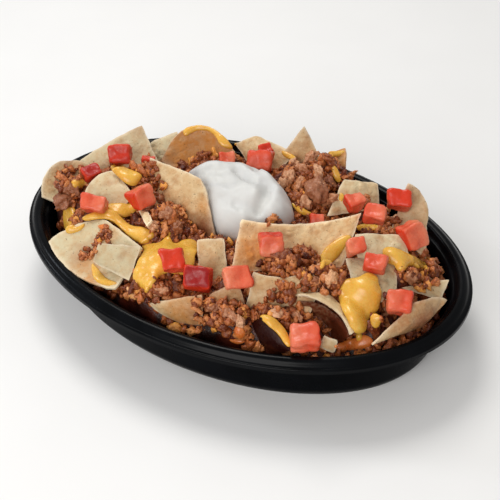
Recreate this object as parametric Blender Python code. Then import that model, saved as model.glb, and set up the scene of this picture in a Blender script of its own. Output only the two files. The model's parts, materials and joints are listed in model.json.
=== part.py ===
"""A tray of loaded nachos: an oval black plastic bowl heaped with tortilla chips, seasoned beef, cheese
sauce, diced tomato and one dollop of sour cream.

The long axis of the bowl lies along X, Z is up and the origin is the middle of the bowl's flat base.
Lengths below are in millimetres and are turned into metres where a mesh is made.
"""

import math
import random

import bmesh
import bpy
import numpy as np
from mathutils import Matrix, Vector, noise
from mathutils.bvhtree import BVHTree

MM = 0.001
GAP = 0.42  # how far a neighbour is swollen before it cuts a piece, which leaves about 0.3 clear

# Bowl. A profile point is (inset from the outer oval, height).
HALF_LENGTH = 120.0
HALF_WIDTH = 80.0
BOWL_SIDES = 36
BOWL_TOP_PROFILE = [
    (0.0, 33.6),
    (0.0, 36.0),
    (1.7, 36.5),
    (3.1, 38.5),
    (5.2, 39.3),
    (7.2, 38.5),
    (8.6, 35.5),
    (10.2, 34.6),
    (16.6, 5.0),
    (20.5, 1.3),
]
BOWL_UNDER_PROFILE = [
    (1.0, 33.6),
    (1.4, 35.2),
    (4.2, 37.4),
    (6.4, 37.3),
    (7.5, 34.4),
    (9.3, 33.4),
    (15.4, 4.2),
    (18.0, 0.0),
]

# Bed of beef that fills the bowl under the chips. Its top runs from the edge's height, which differs at
# the ends and the sides of the bowl, up to the crown.
BED_WALL_GAP = 0.6
BED_SIDES = 30
BED_RINGS = 8
BED_FLOOR = 1.9
BED_EDGE_END = 19.0
BED_EDGE_SIDE = 34.0
BED_CROWN = 49.0
BED_LUMP = 2.2  # how far the bare bed swells and sinks
BED_LUMPS_PER_MM = 0.16
BED_SLOPE_INSET = 1.5  # how far inside the wall the top of the bed begins
MOUND_FALL = 1.4  # how fast a swell falls off with distance
CRUMB_SIZE = (2.8, 4.8)
CRUMB_PLACES = 270
SMALLEST_CRUMB = 1.9
CRUMB_REACH = 1.35  # how far a crumb's farthest corner can lie from its middle, in radii
CRUMB_SPACING = 0.8  # share of two radii that keeps neighbouring crumbs apart
SEED = 11

CHIP_THICKNESS = 1.8
FEWEST_CHIP_ROWS = 3
CHIP_ROW = 11.0  # length of chip side for each row of its grid

TOMATO_BEVEL = 0.12  # share of a die's side
TOMATO_SKEW = 0.06  # how far each corner is off, as a share of the side

# Swells of the bed: (x, y, radius, height added).
BED_MOUNDS = [
    (18, 40, 20, 14),
    (27, 55, 10, 16),
    (-32, -17, 14, 11),
    (-18, -46, 12, 9),
    (-24, -61, 11, 9),
    (-72, -29, 13, 16),
    (-98, -14, 12, 27),
    (-84, 4, 12, 12),
    (-62, 8, 12, 8),
    (-64, 1, 10, 10),
    (-40, 38, 13, 7),
    (22, -58, 12, 10),
    (42, -50, 9, 10),
    (38, -29, 10, 13),
    (59, -25, 10, 16),
    (86, -1, 12, 19),
    (98, 15, 9, 20),
    (74, 26, 13, 11),
    (86, -30, 9, 14),
]

# Chips, from the uppermost to the lowest. "corners" go round the chip. "belly" lifts its middle along the
# normal that points up. "bows" bends an edge that starts at that corner: (outwards, lift).
CHIPS = {
    "chip_small_front_left": dict(
        corners=[(-52, -58, 48), (-53, -50, 53), (-32, -44, 55), (-30, -60, 46)],
        belly=1.5,
    ),
    "chip_front_left": dict(
        corners=[(-85, -50, 41.5), (-62, -30, 50), (-33, -41, 51), (-36, -64, 41)],
        belly=-3.0,
        bows={3: (5, -1), 0: (3, 1)},
    ),
    "chip_front_middle": dict(
        corners=[(27, -41, 60), (55, -19, 60), (56, -39, 42), (27, -49, 43)],
        belly=3.0,
        bows={0: (-5, 0)},
    ),
    "chip_centre_large": dict(
        corners=[(8, -16, 66), (56, 21, 60), (57, -4, 44), (13, -37, 50)],
        belly=-2.0,
        bows={0: (-4, 0)},
    ),
    "chip_centre_upright": dict(
        corners=[(-58, 9, 64), (-22, 0, 69), (-6, -17, 47), (-44, -10, 38)],
        belly=3.0,
        bows={1: (2, 1)},
    ),
    "chip_centre_low": dict(
        corners=[(-9, -30, 57), (3, -24, 58), (11, -36, 43), (1, -47, 43)],
        belly=1.0,
    ),
    "chip_right_pale": dict(
        corners=[(60, -9, 55), (82, 4, 53), (90, -18, 46), (74, -26, 49)],
        belly=1.5,
    ),
    "chip_right_middle": dict(
        corners=[(58, 6, 58), (78, 17, 57), (88, 8, 50), (66, -7, 53)],
        belly=1.5,
    ),
    "chip_roof": dict(
        corners=[(48, -39, 52), (79, -45, 45), (80, -35, 43), (60, -30, 51)],
        belly=1.5,
        bows={0: (-5, 2)},
    ),
    "chip_fan": dict(
        corners=[(88, -43, 41), (99, -22, 54), (111, -6, 48), (104, -20, 39)],
        belly=3.0,
        bows={0: (1, 2), 1: (2, 0)},
    ),
    "chip_right_tip": dict(corners=[(88, -7, 46), (107, 9, 46), (107, -1, 41)], belly=1.0),
    "chip_right_spike": dict(
        corners=[(70, 46, 66), (83, 43, 52), (90, 24, 40), (68, 31, 44)],
        belly=-2.0,
        bows={0: (3, 0)},
    ),
    "chip_right_upper": dict(
        corners=[(36, 44, 57), (52, 52, 55), (57, 43, 46), (38, 19, 52)],
        belly=1.5,
    ),
    "chip_front_tip": dict(
        corners=[(-17, -65, 41.5), (9, -57, 52), (11, -62, 36)],
        belly=1.5,
        bows={2: (3, 0)},
    ),
    "chip_front_brown": dict(
        corners=[(11, -56, 51), (22, -46, 57), (29, -50, 40), (14, -59, 36)],
        belly=1.0,
    ),
    "chip_front_low": dict(
        corners=[(39, -57, 50), (57, -62, 41), (46, -57, 28), (29, -52, 34)],
        belly=-2.0,
    ),
    "chip_under_roof": dict(
        corners=[(50, -39, 49), (78, -44, 43), (70, -39, 28), (50, -36, 30)],
        belly=2.5,
        bows={0: (0, 5)},
    ),
    "chip_front_stub": dict(
        corners=[(67, -53, 40), (68, -50, 45), (75, -49, 44), (74, -52, 38)],
        belly=0.5,
    ),
    "chip_left_middle": dict(
        corners=[(-85, -15, 48), (-75, -1, 57), (-57, -10, 53), (-63, -25, 44)],
        belly=2.0,
        bows={0: (2, 1)},
    ),
    "chip_far_left": dict(
        corners=[(-110, -20, 40), (-102, 13, 43), (-84, -6, 24)],
        belly=-3.0,
        bows={0: (10, 1)},
    ),
    "chip_back_left": dict(
        corners=[(-108, 11, 42), (-82, 40, 57), (-62, 27, 38), (-86, -2, 30)],
        belly=2.0,
        bows={0: (1, 0)},
    ),
    "chip_back_pale": dict(
        corners=[(-80, 42, 44), (-67, 52, 50), (-56, 40, 34), (-74, 35.5, 36)],
        belly=1.0,
    ),
    "chip_back_arch": dict(
        corners=[(-66, 31, 44), (-29, 49, 50), (-40, 28, 34)],
        belly=-5.0,
        bows={0: (17, 0)},
    ),
    "chip_back_right": dict(
        corners=[(-36, 61, 45), (-25, 66, 51), (1, 61, 51), (-8, 44, 36)],
        belly=1.5,
    ),
    "chip_back_spike": dict(corners=[(3, 67, 66), (20, 64, 40), (-12, 54, 38)], belly=1.0),
    "chip_back_hook": dict(
        corners=[(18, 63, 55), (28, 66, 60), (31, 54, 44), (20, 57, 42)],
        bows={1: (2, 2)},
    ),
}

# Diced tomato: (x, y, height of its middle, side, turn, tip), in degrees for the last two.
TOMATOES = {
    "tomato_01": (-82, 16, 53, 11.5, 25, 50),
    "tomato_02": (-89, -2, 51, 9, 60, 20),
    "tomato_03": (-70, -27, 55, 11.5, 10, 35),
    "tomato_04": (-49, -16, 59, 12, 70, 60),
    "tomato_05": (-64, 16, 54, 7, 20, 70),
    "tomato_06": (-28, 37, 54, 9, 30, 40),
    "tomato_07": (-11, 43, 54, 12.5, 15, 50),
    "tomato_08": (-14, 54, 53, 7, 50, 30),
    "tomato_09": (35, 14, 52, 8, 20, 40),
    "tomato_10": (27, -21, 61, 12, 30, 62),
    "tomato_11": (-12, -48, 57, 12, 35, 35),
    "tomato_12": (3, -51, 54, 12, 20, 40),
    "tomato_13": (21, -45, 57, 12, 40, 40),
    "tomato_14": (63, -4, 60, 9, 40, 30),
    "tomato_15": (75, -8, 57, 10.5, 10, 25),
    "tomato_16": (50, 25, 61, 9.5, 50, 15),
    "tomato_17": (63, 21, 61, 10, 10, 20),
    "tomato_18": (69, 38, 60, 12, 20, 40),
    "tomato_19": (83, 20, 56, 12.5, 60, 60),
    "tomato_20": (94, -24, 54, 12.5, 20, 30),
    "tomato_21": (61, -56, 46, 12.5, 30, 15),
}

# Sour cream: its outline in plan from the middle outwards, and the folds that the spoon left in its top,
# (x, y, radius, height added).
CREAM_MIDDLE = (-3, 7)
CREAM_OUTLINE = [
    (-42, 19),
    (-25, 32),
    (-5, 34),
    (12, 26),
    (22, 15),
    (22, 3),
    (15, -5),
    (8, -10),
    (-3, -14),
    (-14, -9),
    (-28, 3),
]
CREAM_BASE = 43.0
CREAM_LIP = 50.0
CREAM_TOP = 64.0
CREAM_SIDES = 24
CREAM_RINGS = 5
CREAM_FOLDS = [
    (-18, 16, 8, 3.5),
    (2, 10, 7, 3.0),
    (-6, 20, 5, -2.5),
    (9, 2, 6, 2.0),
    (14, 14, 6, 2.5),
    (-8, 1, 5, -2.0),
]

# Cheese sauce: the outline of each pool in plan, and its thickness. The other values are the points round
# each outline, the rings inside it, how far the sauce bridges a dip and how deep it sinks in.
CHEESE = {
    "cheese_strap": ([(-76, -2), (-74, 3), (-66, 2), (-58, -1), (-60, -7), (-69, -6)], 3.0),
    "cheese_left": (
        [(-84, -37), (-79, -29), (-68, -23), (-56, -19), (-46, -20)]
        + [(-38, -30), (-44, -35), (-52, -32), (-66, -36)],
        2.6,
    ),
    "cheese_pool": (
        [(-28, -60), (-30, -45), (-24, -36), (-9, -34), (-4, -38)]
        + [(-6, -44), (-14, -52), (-17, -61), (-23, -64)],
        3.0,
    ),
    "cheese_ribbon": ([(50, -18), (51, -9), (58, 0), (62, -2), (59, -9), (56, -18)], 3.0),
    "cheese_blob": (
        [(66, -25), (66, -19), (73, -15), (81, -18), (85, -26)]
        + [(82, -33), (83, -40), (76, -42), (70, -34)],
        4.2,
    ),
    "cheese_right": ([(75, 2), (78, 6), (86, 7), (93, 5), (89, 0), (79, 0)], 2.8),
    "cheese_arch": (
        [(-64, 36), (-60, 43), (-53, 48), (-44, 51), (-34, 50)]
        + [(-31, 47), (-36, 45), (-44, 46), (-52, 43), (-58, 38)],
        1.8,
    ),
    "cheese_front": ([(38, -56), (44, -51), (53, -53), (59, -59), (57, -62), (48, -59)], 2.4),
}
CHEESE_SIDES = 14
CHEESE_RINGS = 3
CHEESE_REACH = 2.6
CHEESE_SINK = 0.5

# Clumps of beef that lie on a chip: (x, y, half length, half width, turn in degrees), with the sides of a
# clump's core and the places that are tried for its crumbs.
CLUMPS = {
    "beef_on_front_chip": (41, -42, 11, 5, 20),
    "beef_on_left_chip": (-63, -42, 9, 3.2, 65),
}
CLUMP_SIDES = 9
CLUMP_PLACES = 12
CLUMP_CRUMB_SIZE = (2.0, 3.0)


def oval_point(inset, angle):
    """A point of the bowl's oval, drawn in by an inset."""
    return (HALF_LENGTH - inset) * math.cos(angle), (HALF_WIDTH - inset) * math.sin(angle)


def make_object(name, points, faces, material):
    """An object from points in millimetres and faces that all turn outwards."""
    mesh = bpy.data.meshes.new(name)
    mesh.from_pydata([Vector(p) * MM for p in points], [], faces)
    shell = bmesh.new()
    shell.from_mesh(mesh)
    bmesh.ops.recalc_face_normals(shell, faces=shell.faces)
    bmesh.ops.triangulate(shell, faces=shell.faces)
    shell.to_mesh(mesh)
    shell.free()
    mesh.shade_smooth()
    mesh.set_sharp_from_angle(angle=math.radians(40))
    thing = bpy.data.objects.new(name, mesh)
    bpy.context.scene.collection.objects.link(thing)
    mesh.materials.append(material)
    return thing


def material(name, colour, roughness):
    """A plain finish, with the colour as linear red, green and blue."""
    made = bpy.data.materials.new(name)
    made.use_nodes = True
    shader = made.node_tree.nodes["Principled BSDF"]
    shader.inputs["Base Color"].default_value = (*colour, 1.0)
    shader.inputs["Roughness"].default_value = roughness
    shader.inputs["Metallic"].default_value = 0.0
    return made


def ring_faces(rings, sides):
    """Quads between rings of points that were added one after another."""
    faces = []
    for ring in range(rings - 1):
        for side in range(sides):
            after = (side + 1) % sides
            faces.append(
                (
                    ring * sides + side,
                    ring * sides + after,
                    (ring + 1) * sides + after,
                    (ring + 1) * sides + side,
                )
            )
    return faces


def swollen(thing):
    """A copy of an object, grown outwards by the gap, that cuts its neighbours and isn't shown."""
    copy = bpy.data.objects.new(thing.name + "_cutter", thing.data.copy())
    for vertex, source in zip(copy.data.vertices, thing.data.vertices):
        vertex.co = source.co + source.normal * GAP * MM
    copy.hide_render = True
    copy.display_type = "WIRE"
    return copy


def apply_boolean(thing, others, operation):
    """Joins or cuts an object with a list of others, then removes them."""
    if not others:
        return
    group = bpy.data.collections.new("operands")
    bpy.context.scene.collection.children.link(group)
    for other in others:
        group.objects.link(other)
    step = thing.modifiers.new("join_or_cut", "BOOLEAN")
    step.operation = operation
    step.operand_type = "COLLECTION"
    step.collection = group
    step.solver = "MANIFOLD"
    graph = bpy.context.evaluated_depsgraph_get()
    result = bpy.data.meshes.new_from_object(thing.evaluated_get(graph))
    thing.modifiers.clear()
    thing.data = result
    for other in others:
        bpy.data.objects.remove(other)
    bpy.data.collections.remove(group)


def keep_largest(thing):
    """Drops the scraps that a cut left loose."""
    shell = bmesh.new()
    shell.from_mesh(thing.data)
    bmesh.ops.triangulate(shell, faces=shell.faces)
    unseen = set(shell.verts)
    islands = []
    while unseen:
        island = {unseen.pop()}
        front = list(island)
        while front:
            vertex = front.pop()
            for edge in vertex.link_edges:
                other = edge.other_vert(vertex)
                if other not in island:
                    island.add(other)
                    front.append(other)
        unseen -= island
        islands.append(island)
    islands.sort(key=len)
    for island in islands[:-1]:
        bmesh.ops.delete(shell, geom=list(island), context="VERTS")
    shell.to_mesh(thing.data)
    shell.free()


def boxes_meet(first, second):
    """Whether the bounding boxes of two objects come within the gap of each other."""
    for axis in range(3):
        low_a, high_a = extent(first, axis)
        low_b, high_b = extent(second, axis)
        if low_a > high_b + GAP * MM or low_b > high_a + GAP * MM:
            return False
    return True


def extent(thing, axis):
    """The lowest and highest coordinate of an object's mesh along one axis."""
    values = [vertex.co[axis] for vertex in thing.data.vertices]
    return min(values), max(values)


def cut_by(thing, neighbours):
    """Fits a piece round the neighbours that came before it."""
    near = [other for other in neighbours if boxes_meet(thing, other)]
    apply_boolean(thing, [swollen(other) for other in near], "DIFFERENCE")
    keep_largest(thing)


def make_bowl(finish):
    """The bowl: an oval shell with a beaded rim, a short skirt and a flat base."""
    profile = BOWL_UNDER_PROFILE[::-1] + BOWL_TOP_PROFILE
    points = []
    for inset, height in profile:
        for side in range(BOWL_SIDES):
            x, y = oval_point(inset, math.tau * side / BOWL_SIDES)
            points.append((x, y, height))
    faces = ring_faces(len(profile), BOWL_SIDES)
    base = len(points)
    points.append((0, 0, 0))
    floor = len(points)
    points.append((0, 0, BOWL_TOP_PROFILE[-1][1]))
    last = (len(profile) - 1) * BOWL_SIDES
    for side in range(BOWL_SIDES):
        after = (side + 1) % BOWL_SIDES
        faces.append((base, side, after))
        faces.append((floor, last + after, last + side))
    return make_object("bowl", points, faces, finish)


def patch_frame(corners):
    """The middle of a chip's corners and its normal, turned to point up."""
    middle = sum(corners, Vector()) / len(corners)
    normal = Vector()
    for index, corner in enumerate(corners):
        normal += (corner - middle).cross(corners[(index + 1) % len(corners)] - middle)
    normal.normalize()
    return middle, normal if normal.z > 0 else -normal


def patch_weights(count, steps):
    """The grid over a chip: each point's share of every corner, with its triangles."""
    if count == 3:
        keys = [(i, j) for i in range(steps + 1) for j in range(steps + 1 - i)]
        weights = [((steps - i - j) / steps, i / steps, j / steps) for i, j in keys]
        index = {key: number for number, key in enumerate(keys)}
        faces = []
        for i in range(steps):
            for j in range(steps - i):
                faces.append((index[i, j], index[i + 1, j], index[i, j + 1]))
                if i + j < steps - 1:
                    faces.append((index[i + 1, j], index[i + 1, j + 1], index[i, j + 1]))
        rim = [index[i, 0] for i in range(steps)]
        rim += [index[steps - j, j] for j in range(steps)]
        rim += [index[0, j] for j in range(steps, 0, -1)]
        return weights, faces, rim
    keys = [(i, j) for i in range(steps + 1) for j in range(steps + 1)]
    weights = []
    for i, j in keys:
        u, v = i / steps, j / steps
        weights.append(((1 - u) * (1 - v), u * (1 - v), u * v, (1 - u) * v))
    index = {key: number for number, key in enumerate(keys)}
    faces = []
    for i in range(steps):
        for j in range(steps):
            square = (index[i, j], index[i + 1, j], index[i + 1, j + 1], index[i, j + 1])
            faces.append((square[0], square[1], square[2]))
            faces.append((square[0], square[2], square[3]))
    rim = [index[i, 0] for i in range(steps)]
    rim += [index[steps, j] for j in range(steps)]
    rim += [index[i, steps] for i in range(steps, 0, -1)]
    rim += [index[0, j] for j in range(steps, 0, -1)]
    return weights, faces, rim


def chip_surface(corners, belly, bows):
    """The middle surface of a chip, in millimetres."""
    count = len(corners)
    middle, normal = patch_frame(corners)
    sides = [(corners[index - 1] - corners[index]).length for index in range(count)]
    steps = max(FEWEST_CHIP_ROWS, round(max(sides) / CHIP_ROW))
    weights, faces, rim = patch_weights(count, steps)
    points = []
    for share in weights:
        point = sum((corner * part for corner, part in zip(corners, share)), Vector())
        bump = 27 * share[0] * share[1] * share[2]
        if count == 4:
            along = share[1] + share[2]
            across = share[2] + share[3]
            bump = 16 * along * (1 - along) * across * (1 - across)
        point += normal * belly * bump
        for edge, (outwards, lift) in bows.items():
            first, second = edge, (edge + 1) % count
            chord = (corners[second] - corners[first]).normalized()
            out = (corners[first] + corners[second]) / 2 - middle
            out -= chord * out.dot(chord)
            bend = 4 * share[first] * share[second]
            point += (out.normalized() * outwards + normal * lift) * bend
        points.append(point)
    return points, faces, rim


def surface_normals(points, faces):
    """A unit normal for each point of a surface, from the faces round it."""
    normals = [Vector() for _ in points]
    for a, b, c in faces:
        face_normal = (points[b] - points[a]).cross(points[c] - points[a])
        for index in (a, b, c):
            normals[index] += face_normal
    return [normal.normalized() for normal in normals]


def make_chip(name, finish, corners, belly=0.0, bows=None):
    """A thin curved tortilla chip."""
    points, faces, rim = chip_surface([Vector(corner) for corner in corners], belly, bows or {})
    normals = surface_normals(points, faces)
    count = len(points)
    half = CHIP_THICKNESS / 2
    solid = [point + normal * half for point, normal in zip(points, normals)]
    solid += [point - normal * half for point, normal in zip(points, normals)]
    skin = [tuple(face) for face in faces]
    skin += [(a + count, c + count, b + count) for a, b, c in faces]
    for index, start in enumerate(rim):
        end = rim[(index + 1) % len(rim)]
        skin.append((start, start + count, end + count, end))
    return make_object(name, solid, skin, finish)


def make_tomato(name, finish, x, y, z, side, turn, tip):
    """A die of tomato: a box with worn edges, one side a little longer than the others."""
    draw = random.Random(name)
    shell = bmesh.new()
    bmesh.ops.create_cube(shell, size=side * MM)
    stretch = Vector((draw.uniform(0.95, 1.15), draw.uniform(0.8, 1.0), draw.uniform(0.75, 0.95)))
    bmesh.ops.scale(shell, vec=stretch, verts=shell.verts)
    for vertex in shell.verts:
        vertex.co += Vector(draw.uniform(-1, 1) for _ in range(3)) * side * TOMATO_SKEW * MM
    bmesh.ops.bevel(
        shell, geom=shell.edges[:], offset=side * TOMATO_BEVEL * MM, segments=1, affect="EDGES"
    )
    pose = Matrix.Translation(Vector((x, y, z)) * MM)
    pose @= Matrix.Rotation(math.radians(turn), 4, "Z") @ Matrix.Rotation(math.radians(tip), 4, "X")
    bmesh.ops.transform(shell, matrix=pose, verts=shell.verts)
    points = [vertex.co / MM for vertex in shell.verts]
    faces = [tuple(vertex.index for vertex in face.verts) for face in shell.faces]
    shell.free()
    return make_object(name, points, faces, finish)


def mound_height(x, y):
    """The height of the bare bed of beef above the table."""
    reach = min(1.0, math.hypot(x / (HALF_LENGTH - 10), y / (HALF_WIDTH - 10)))
    angle = math.atan2(y / HALF_WIDTH, x / HALF_LENGTH)
    edge = BED_EDGE_END + (BED_EDGE_SIDE - BED_EDGE_END) * math.sin(angle) ** 2
    height = edge + (BED_CROWN - edge) * (1 - reach**3)
    for mound_x, mound_y, radius, rise in BED_MOUNDS:
        near = math.hypot(x - mound_x, y - mound_y) / radius
        height += rise * math.exp(-MOUND_FALL * near * near)
    return height


def wall_inset(height):
    """The inset of the bowl's inner wall at a height."""
    heights = [point[1] for point in BOWL_TOP_PROFILE[::-1]]
    insets = [point[0] for point in BOWL_TOP_PROFILE[::-1]]
    return float(np.interp(height, heights[:4], insets[:4]))


def make_bed(finish):
    """The bed of beef: its side follows the bowl's wall and its top is the mounded heap."""
    points = []
    for inset, height in ((24.0, BED_FLOOR), (wall_inset(6) + 1.6, 6.0)):
        for side in range(BED_SIDES):
            x, y = oval_point(inset + BED_WALL_GAP, math.tau * side / BED_SIDES)
            points.append((x, y, height))
    for ring in range(BED_RINGS):
        share = 1 - ring / BED_RINGS
        for side in range(BED_SIDES):
            angle = math.tau * side / BED_SIDES
            x, y = oval_point(wall_inset(25) + BED_WALL_GAP + BED_SLOPE_INSET, angle)
            x, y = x * share, y * share
            height = mound_height(x, y)
            roughness = noise.noise(Vector((x, y, 0)) * BED_LUMPS_PER_MM) * BED_LUMP
            points.append((x, y, height + roughness * min(1, ring)))
    faces = ring_faces(2 + BED_RINGS, BED_SIDES)
    floor = len(points)
    points.append((0, 0, BED_FLOOR))
    crown = len(points)
    points.append((0, 0, mound_height(0, 0)))
    last = (1 + BED_RINGS) * BED_SIDES
    for side in range(BED_SIDES):
        after = (side + 1) % BED_SIDES
        faces.append((floor, after, side))
        faces.append((crown, last + side, last + after))
    return make_object("beef_bed", points, faces, finish)


def closed_curve(corners, count):
    """Points on a smooth closed curve through the corners, evenly spread over its spans."""
    points = []
    total = len(corners)
    for step in range(count):
        place = step * total / count
        span = int(place)
        t = place - span
        a, b, c, d = (Vector(corners[(span + shift) % total]) for shift in (-1, 0, 1, 2))
        bend = 2 * b + (c - a) * t + (2 * a - 5 * b + 4 * c - d) * t**2
        points.append(0.5 * (bend + (3 * b - a - 3 * c + d) * t**3))
    return points


def polar_solid(name, rim, middle, rings, top, under, finish):
    """A closed blob over an outline in plan, between heights that depend on (x, y, share of the way out)."""
    sides = len(rim)
    levels = [1 - ring / rings for ring in range(rings)]
    points = []
    for level in [*levels[::-1], *levels]:
        lower = len(points) < rings * sides
        for corner in rim:
            spot = middle + (corner - middle) * level
            height = (under if lower else top)(spot.x, spot.y, level)
            points.append((spot.x, spot.y, height))
    faces = ring_faces(2 * rings, sides)
    floor = len(points)
    points.append((middle.x, middle.y, under(middle.x, middle.y, 0)))
    points.append((middle.x, middle.y, top(middle.x, middle.y, 0)))
    last = (2 * rings - 1) * sides
    for side in range(sides):
        after = (side + 1) % sides
        faces.append((floor, after, side))
        faces.append((floor + 1, last + side, last + after))
    return make_object(name, points, faces, finish)


def make_cream(finish):
    """The dollop of sour cream: steep round its foot, nearly level on top, with a spoon's folds."""
    middle = Vector(CREAM_MIDDLE)

    def top(x, y, level):
        height = CREAM_LIP + (CREAM_TOP - CREAM_LIP) * (1 - level**3) ** 0.7
        for fold_x, fold_y, radius, rise in CREAM_FOLDS:
            near = math.hypot(x - fold_x, y - fold_y) / radius
            height += rise * math.exp(-near * near) * (1 - level**4)
        return height

    def under(_x, _y, level):
        return CREAM_BASE + 3 * level**4

    rim = closed_curve(CREAM_OUTLINE, CREAM_SIDES)
    return polar_solid("sour_cream", rim, middle, CREAM_RINGS, top, under, finish)


def height_under(x, y, tree):
    """The height of the highest surface under a point in plan."""
    hit = tree.ray_cast(Vector((x, y, 120)) * MM, Vector((0, 0, -1)))[0]
    return hit.z / MM if hit else 0.0


def ring_of(x, y, radius, count):
    """Points in a ring round a point in plan, and the point itself."""
    angles = [math.tau * step / count for step in range(count)]
    return [(x, y)] + [(x + radius * math.cos(angle), y + radius * math.sin(angle)) for angle in angles]


def draped_height(x, y, tree, reach):
    """The height of a thick sauce that bridges the gaps in what it lies on."""
    bridged = []
    for spot in ring_of(x, y, reach, 8):
        bridged.append(max(height_under(*near, tree) for near in ring_of(*spot, reach * 0.7, 6)))
    return sum(bridged) / len(bridged)


def make_cheese(name, finish, outline, thickness, tree):
    """A pool of cheese sauce that lies over the chips and beef under it, thick in the middle."""
    rim = closed_curve(outline, CHEESE_SIDES)
    middle = sum(rim, Vector((0, 0))) / len(rim)

    def top(x, y, level):
        return draped_height(x, y, tree, CHEESE_REACH) + thickness * (1 - 0.75 * level**5)

    def under(x, y, _level):
        return draped_height(x, y, tree, CHEESE_REACH) - CHEESE_SINK

    return polar_solid(name, rim, middle, CHEESE_RINGS, top, under, finish)


def crumb(name, place, radius, draw, finish):
    """One crumb of cooked beef: an uneven lump with twenty sides."""
    shell = bmesh.new()
    bmesh.ops.create_icosphere(shell, subdivisions=1, radius=radius)
    angle = draw.uniform(0, math.tau)
    axis = Vector((draw.random(), draw.random(), draw.random() + 0.1))
    turn = Matrix.Rotation(angle, 3, axis)
    stretch = Vector((draw.uniform(0.8, 1.25), draw.uniform(0.75, 1.05), draw.uniform(0.7, 1.0)))
    for vertex in shell.verts:
        vertex.co = turn @ (vertex.co * draw.uniform(0.85, 1.12) * stretch) + Vector(place)
    points = [vertex.co.copy() for vertex in shell.verts]
    faces = [tuple(vertex.index for vertex in face.verts) for face in shell.faces]
    shell.free()
    return make_object(name, points, faces, finish)


def tree_of(things):
    """A search tree over the faces of several objects."""
    points = []
    faces = []
    for thing in things:
        start = len(points)
        points += [vertex.co.copy() for vertex in thing.data.vertices]
        faces += [[start + index for index in face.vertices] for face in thing.data.polygons]
    return BVHTree.FromPolygons(points, faces)


def fuse_crumbs(thing, spots, neighbours, draw, finish):
    """Joins crumbs to a core, largest first, and leaves out those that would touch a neighbour."""
    around = tree_of(neighbours)
    core = tree_of([thing])
    crumbs = []
    taken = []
    for x, y, radius in sorted(spots, key=lambda spot: -spot[2]):
        height = height_under(x, y, core)
        place = Vector((x, y, height + radius * 0.25))
        room = around.find_nearest(place * MM)[3] / MM if neighbours else radius * 2
        radius = min(radius, (room - GAP) / CRUMB_REACH)
        hidden = neighbours and height_under(x, y, around) > height
        apart = [(place - other).length / (radius + size) for other, size in taken]
        crowded = any(share < CRUMB_SPACING for share in apart)
        if height == 0.0 or hidden or crowded or radius < SMALLEST_CRUMB:
            continue
        taken.append((place, radius))
        crumbs.append(crumb("crumb", place, radius, draw, finish))
    apply_boolean(thing, crumbs, "UNION")
    keep_largest(thing)


def bed_spots(draw):
    """Places for the crumbs of the bed: a sunflower spiral over the oval, a little scattered."""
    spots = []
    for index in range(CRUMB_PLACES):
        share = math.sqrt((index + 0.5) / CRUMB_PLACES)
        angle = index * math.pi * (3 - math.sqrt(5))
        x = (HALF_LENGTH - 18) * share * math.cos(angle) + draw.uniform(-1, 1)
        y = (HALF_WIDTH - 17) * share * math.sin(angle) + draw.uniform(-1, 1)
        spots.append((x, y, draw.uniform(*CRUMB_SIZE)))
    return spots


def clump_point(shape, along, across):
    """A point of a clump in plan, from its place along and across the clump's oval."""
    x, y, half_length, half_width, turn = shape
    step = Vector((along * half_length, across * half_width))
    step.rotate(Matrix.Rotation(math.radians(turn), 2))
    return Vector((x, y)) + step


def make_clump(name, finish, shape, tree, draw):
    """The core of a clump of beef that lies on a chip."""
    rim = []
    for side in range(CLUMP_SIDES):
        angle = math.tau * side / CLUMP_SIDES
        reach = draw.uniform(0.75, 1.0)
        rim.append(clump_point(shape, reach * math.cos(angle), reach * math.sin(angle)))
    height = 0.35 * shape[3]

    def top(spot_x, spot_y, level):
        return height_under(spot_x, spot_y, tree) + 1.0 + height * (1 - level**2)

    def under(spot_x, spot_y, _level):
        return height_under(spot_x, spot_y, tree) - 1.2

    return polar_solid(name, rim, clump_point(shape, 0, 0), 2, top, under, finish)


def clump_spots(shape, draw):
    """Places for the crumbs of a clump, drawn at random over its oval."""
    spots = []
    for _ in range(CLUMP_PLACES):
        place = clump_point(shape, draw.uniform(-0.9, 0.9), draw.uniform(-0.9, 0.9))
        spots.append((place.x, place.y, draw.uniform(*CLUMP_CRUMB_SIZE)))
    return spots


def main():
    for thing in list(bpy.data.objects):
        bpy.data.objects.remove(thing)
    draw = random.Random(SEED)
    black = material("black_plastic", (0.006, 0.007, 0.009), 0.3)
    corn = material("corn_chip", (0.68, 0.50, 0.27), 0.65)
    red = material("tomato", (0.62, 0.06, 0.025), 0.25)
    white = material("sour_cream", (0.80, 0.79, 0.76), 0.35)
    gold = material("cheese_sauce", (0.80, 0.38, 0.05), 0.3)
    brown = material("seasoned_beef", (0.20, 0.075, 0.03), 0.45)

    solids = [make_bowl(black)]
    for name, shape in CHIPS.items():
        chip = make_chip(name, corn, **shape)
        cut_by(chip, solids)
        solids.append(chip)
    bed = make_bed(brown)
    under_sauce = tree_of([*solids, bed])
    for name, shape in TOMATOES.items():
        dice = make_tomato(name, red, *shape)
        cut_by(dice, solids)
        solids.append(dice)
    cream = make_cream(white)
    cut_by(cream, solids)
    solids.append(cream)
    for name, (outline, thickness) in CHEESE.items():
        pool = make_cheese(name, gold, outline, thickness, under_sauce)
        cut_by(pool, solids)
        solids.append(pool)
    for name, shape in CLUMPS.items():
        clump = make_clump(name, brown, shape, under_sauce, draw)
        fuse_crumbs(clump, clump_spots(shape, draw), [], draw, brown)
        cut_by(clump, solids)
        solids.append(clump)
    cut_by(bed, solids)
    fuse_crumbs(bed, bed_spots(draw), solids, draw, brown)


main()
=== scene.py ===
# %% [markdown]
# # Loaded nachos in an oval bowl
#
# The real object is a black plastic bowl heaped with tortilla chips, seasoned beef, cheese sauce, diced
# tomato and sour cream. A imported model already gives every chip, die and pool of sauce its true place. This
# lesson dresses that model: it grows each plain solid into the food that it stands for.

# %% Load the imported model
import json
import math
import random

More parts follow.
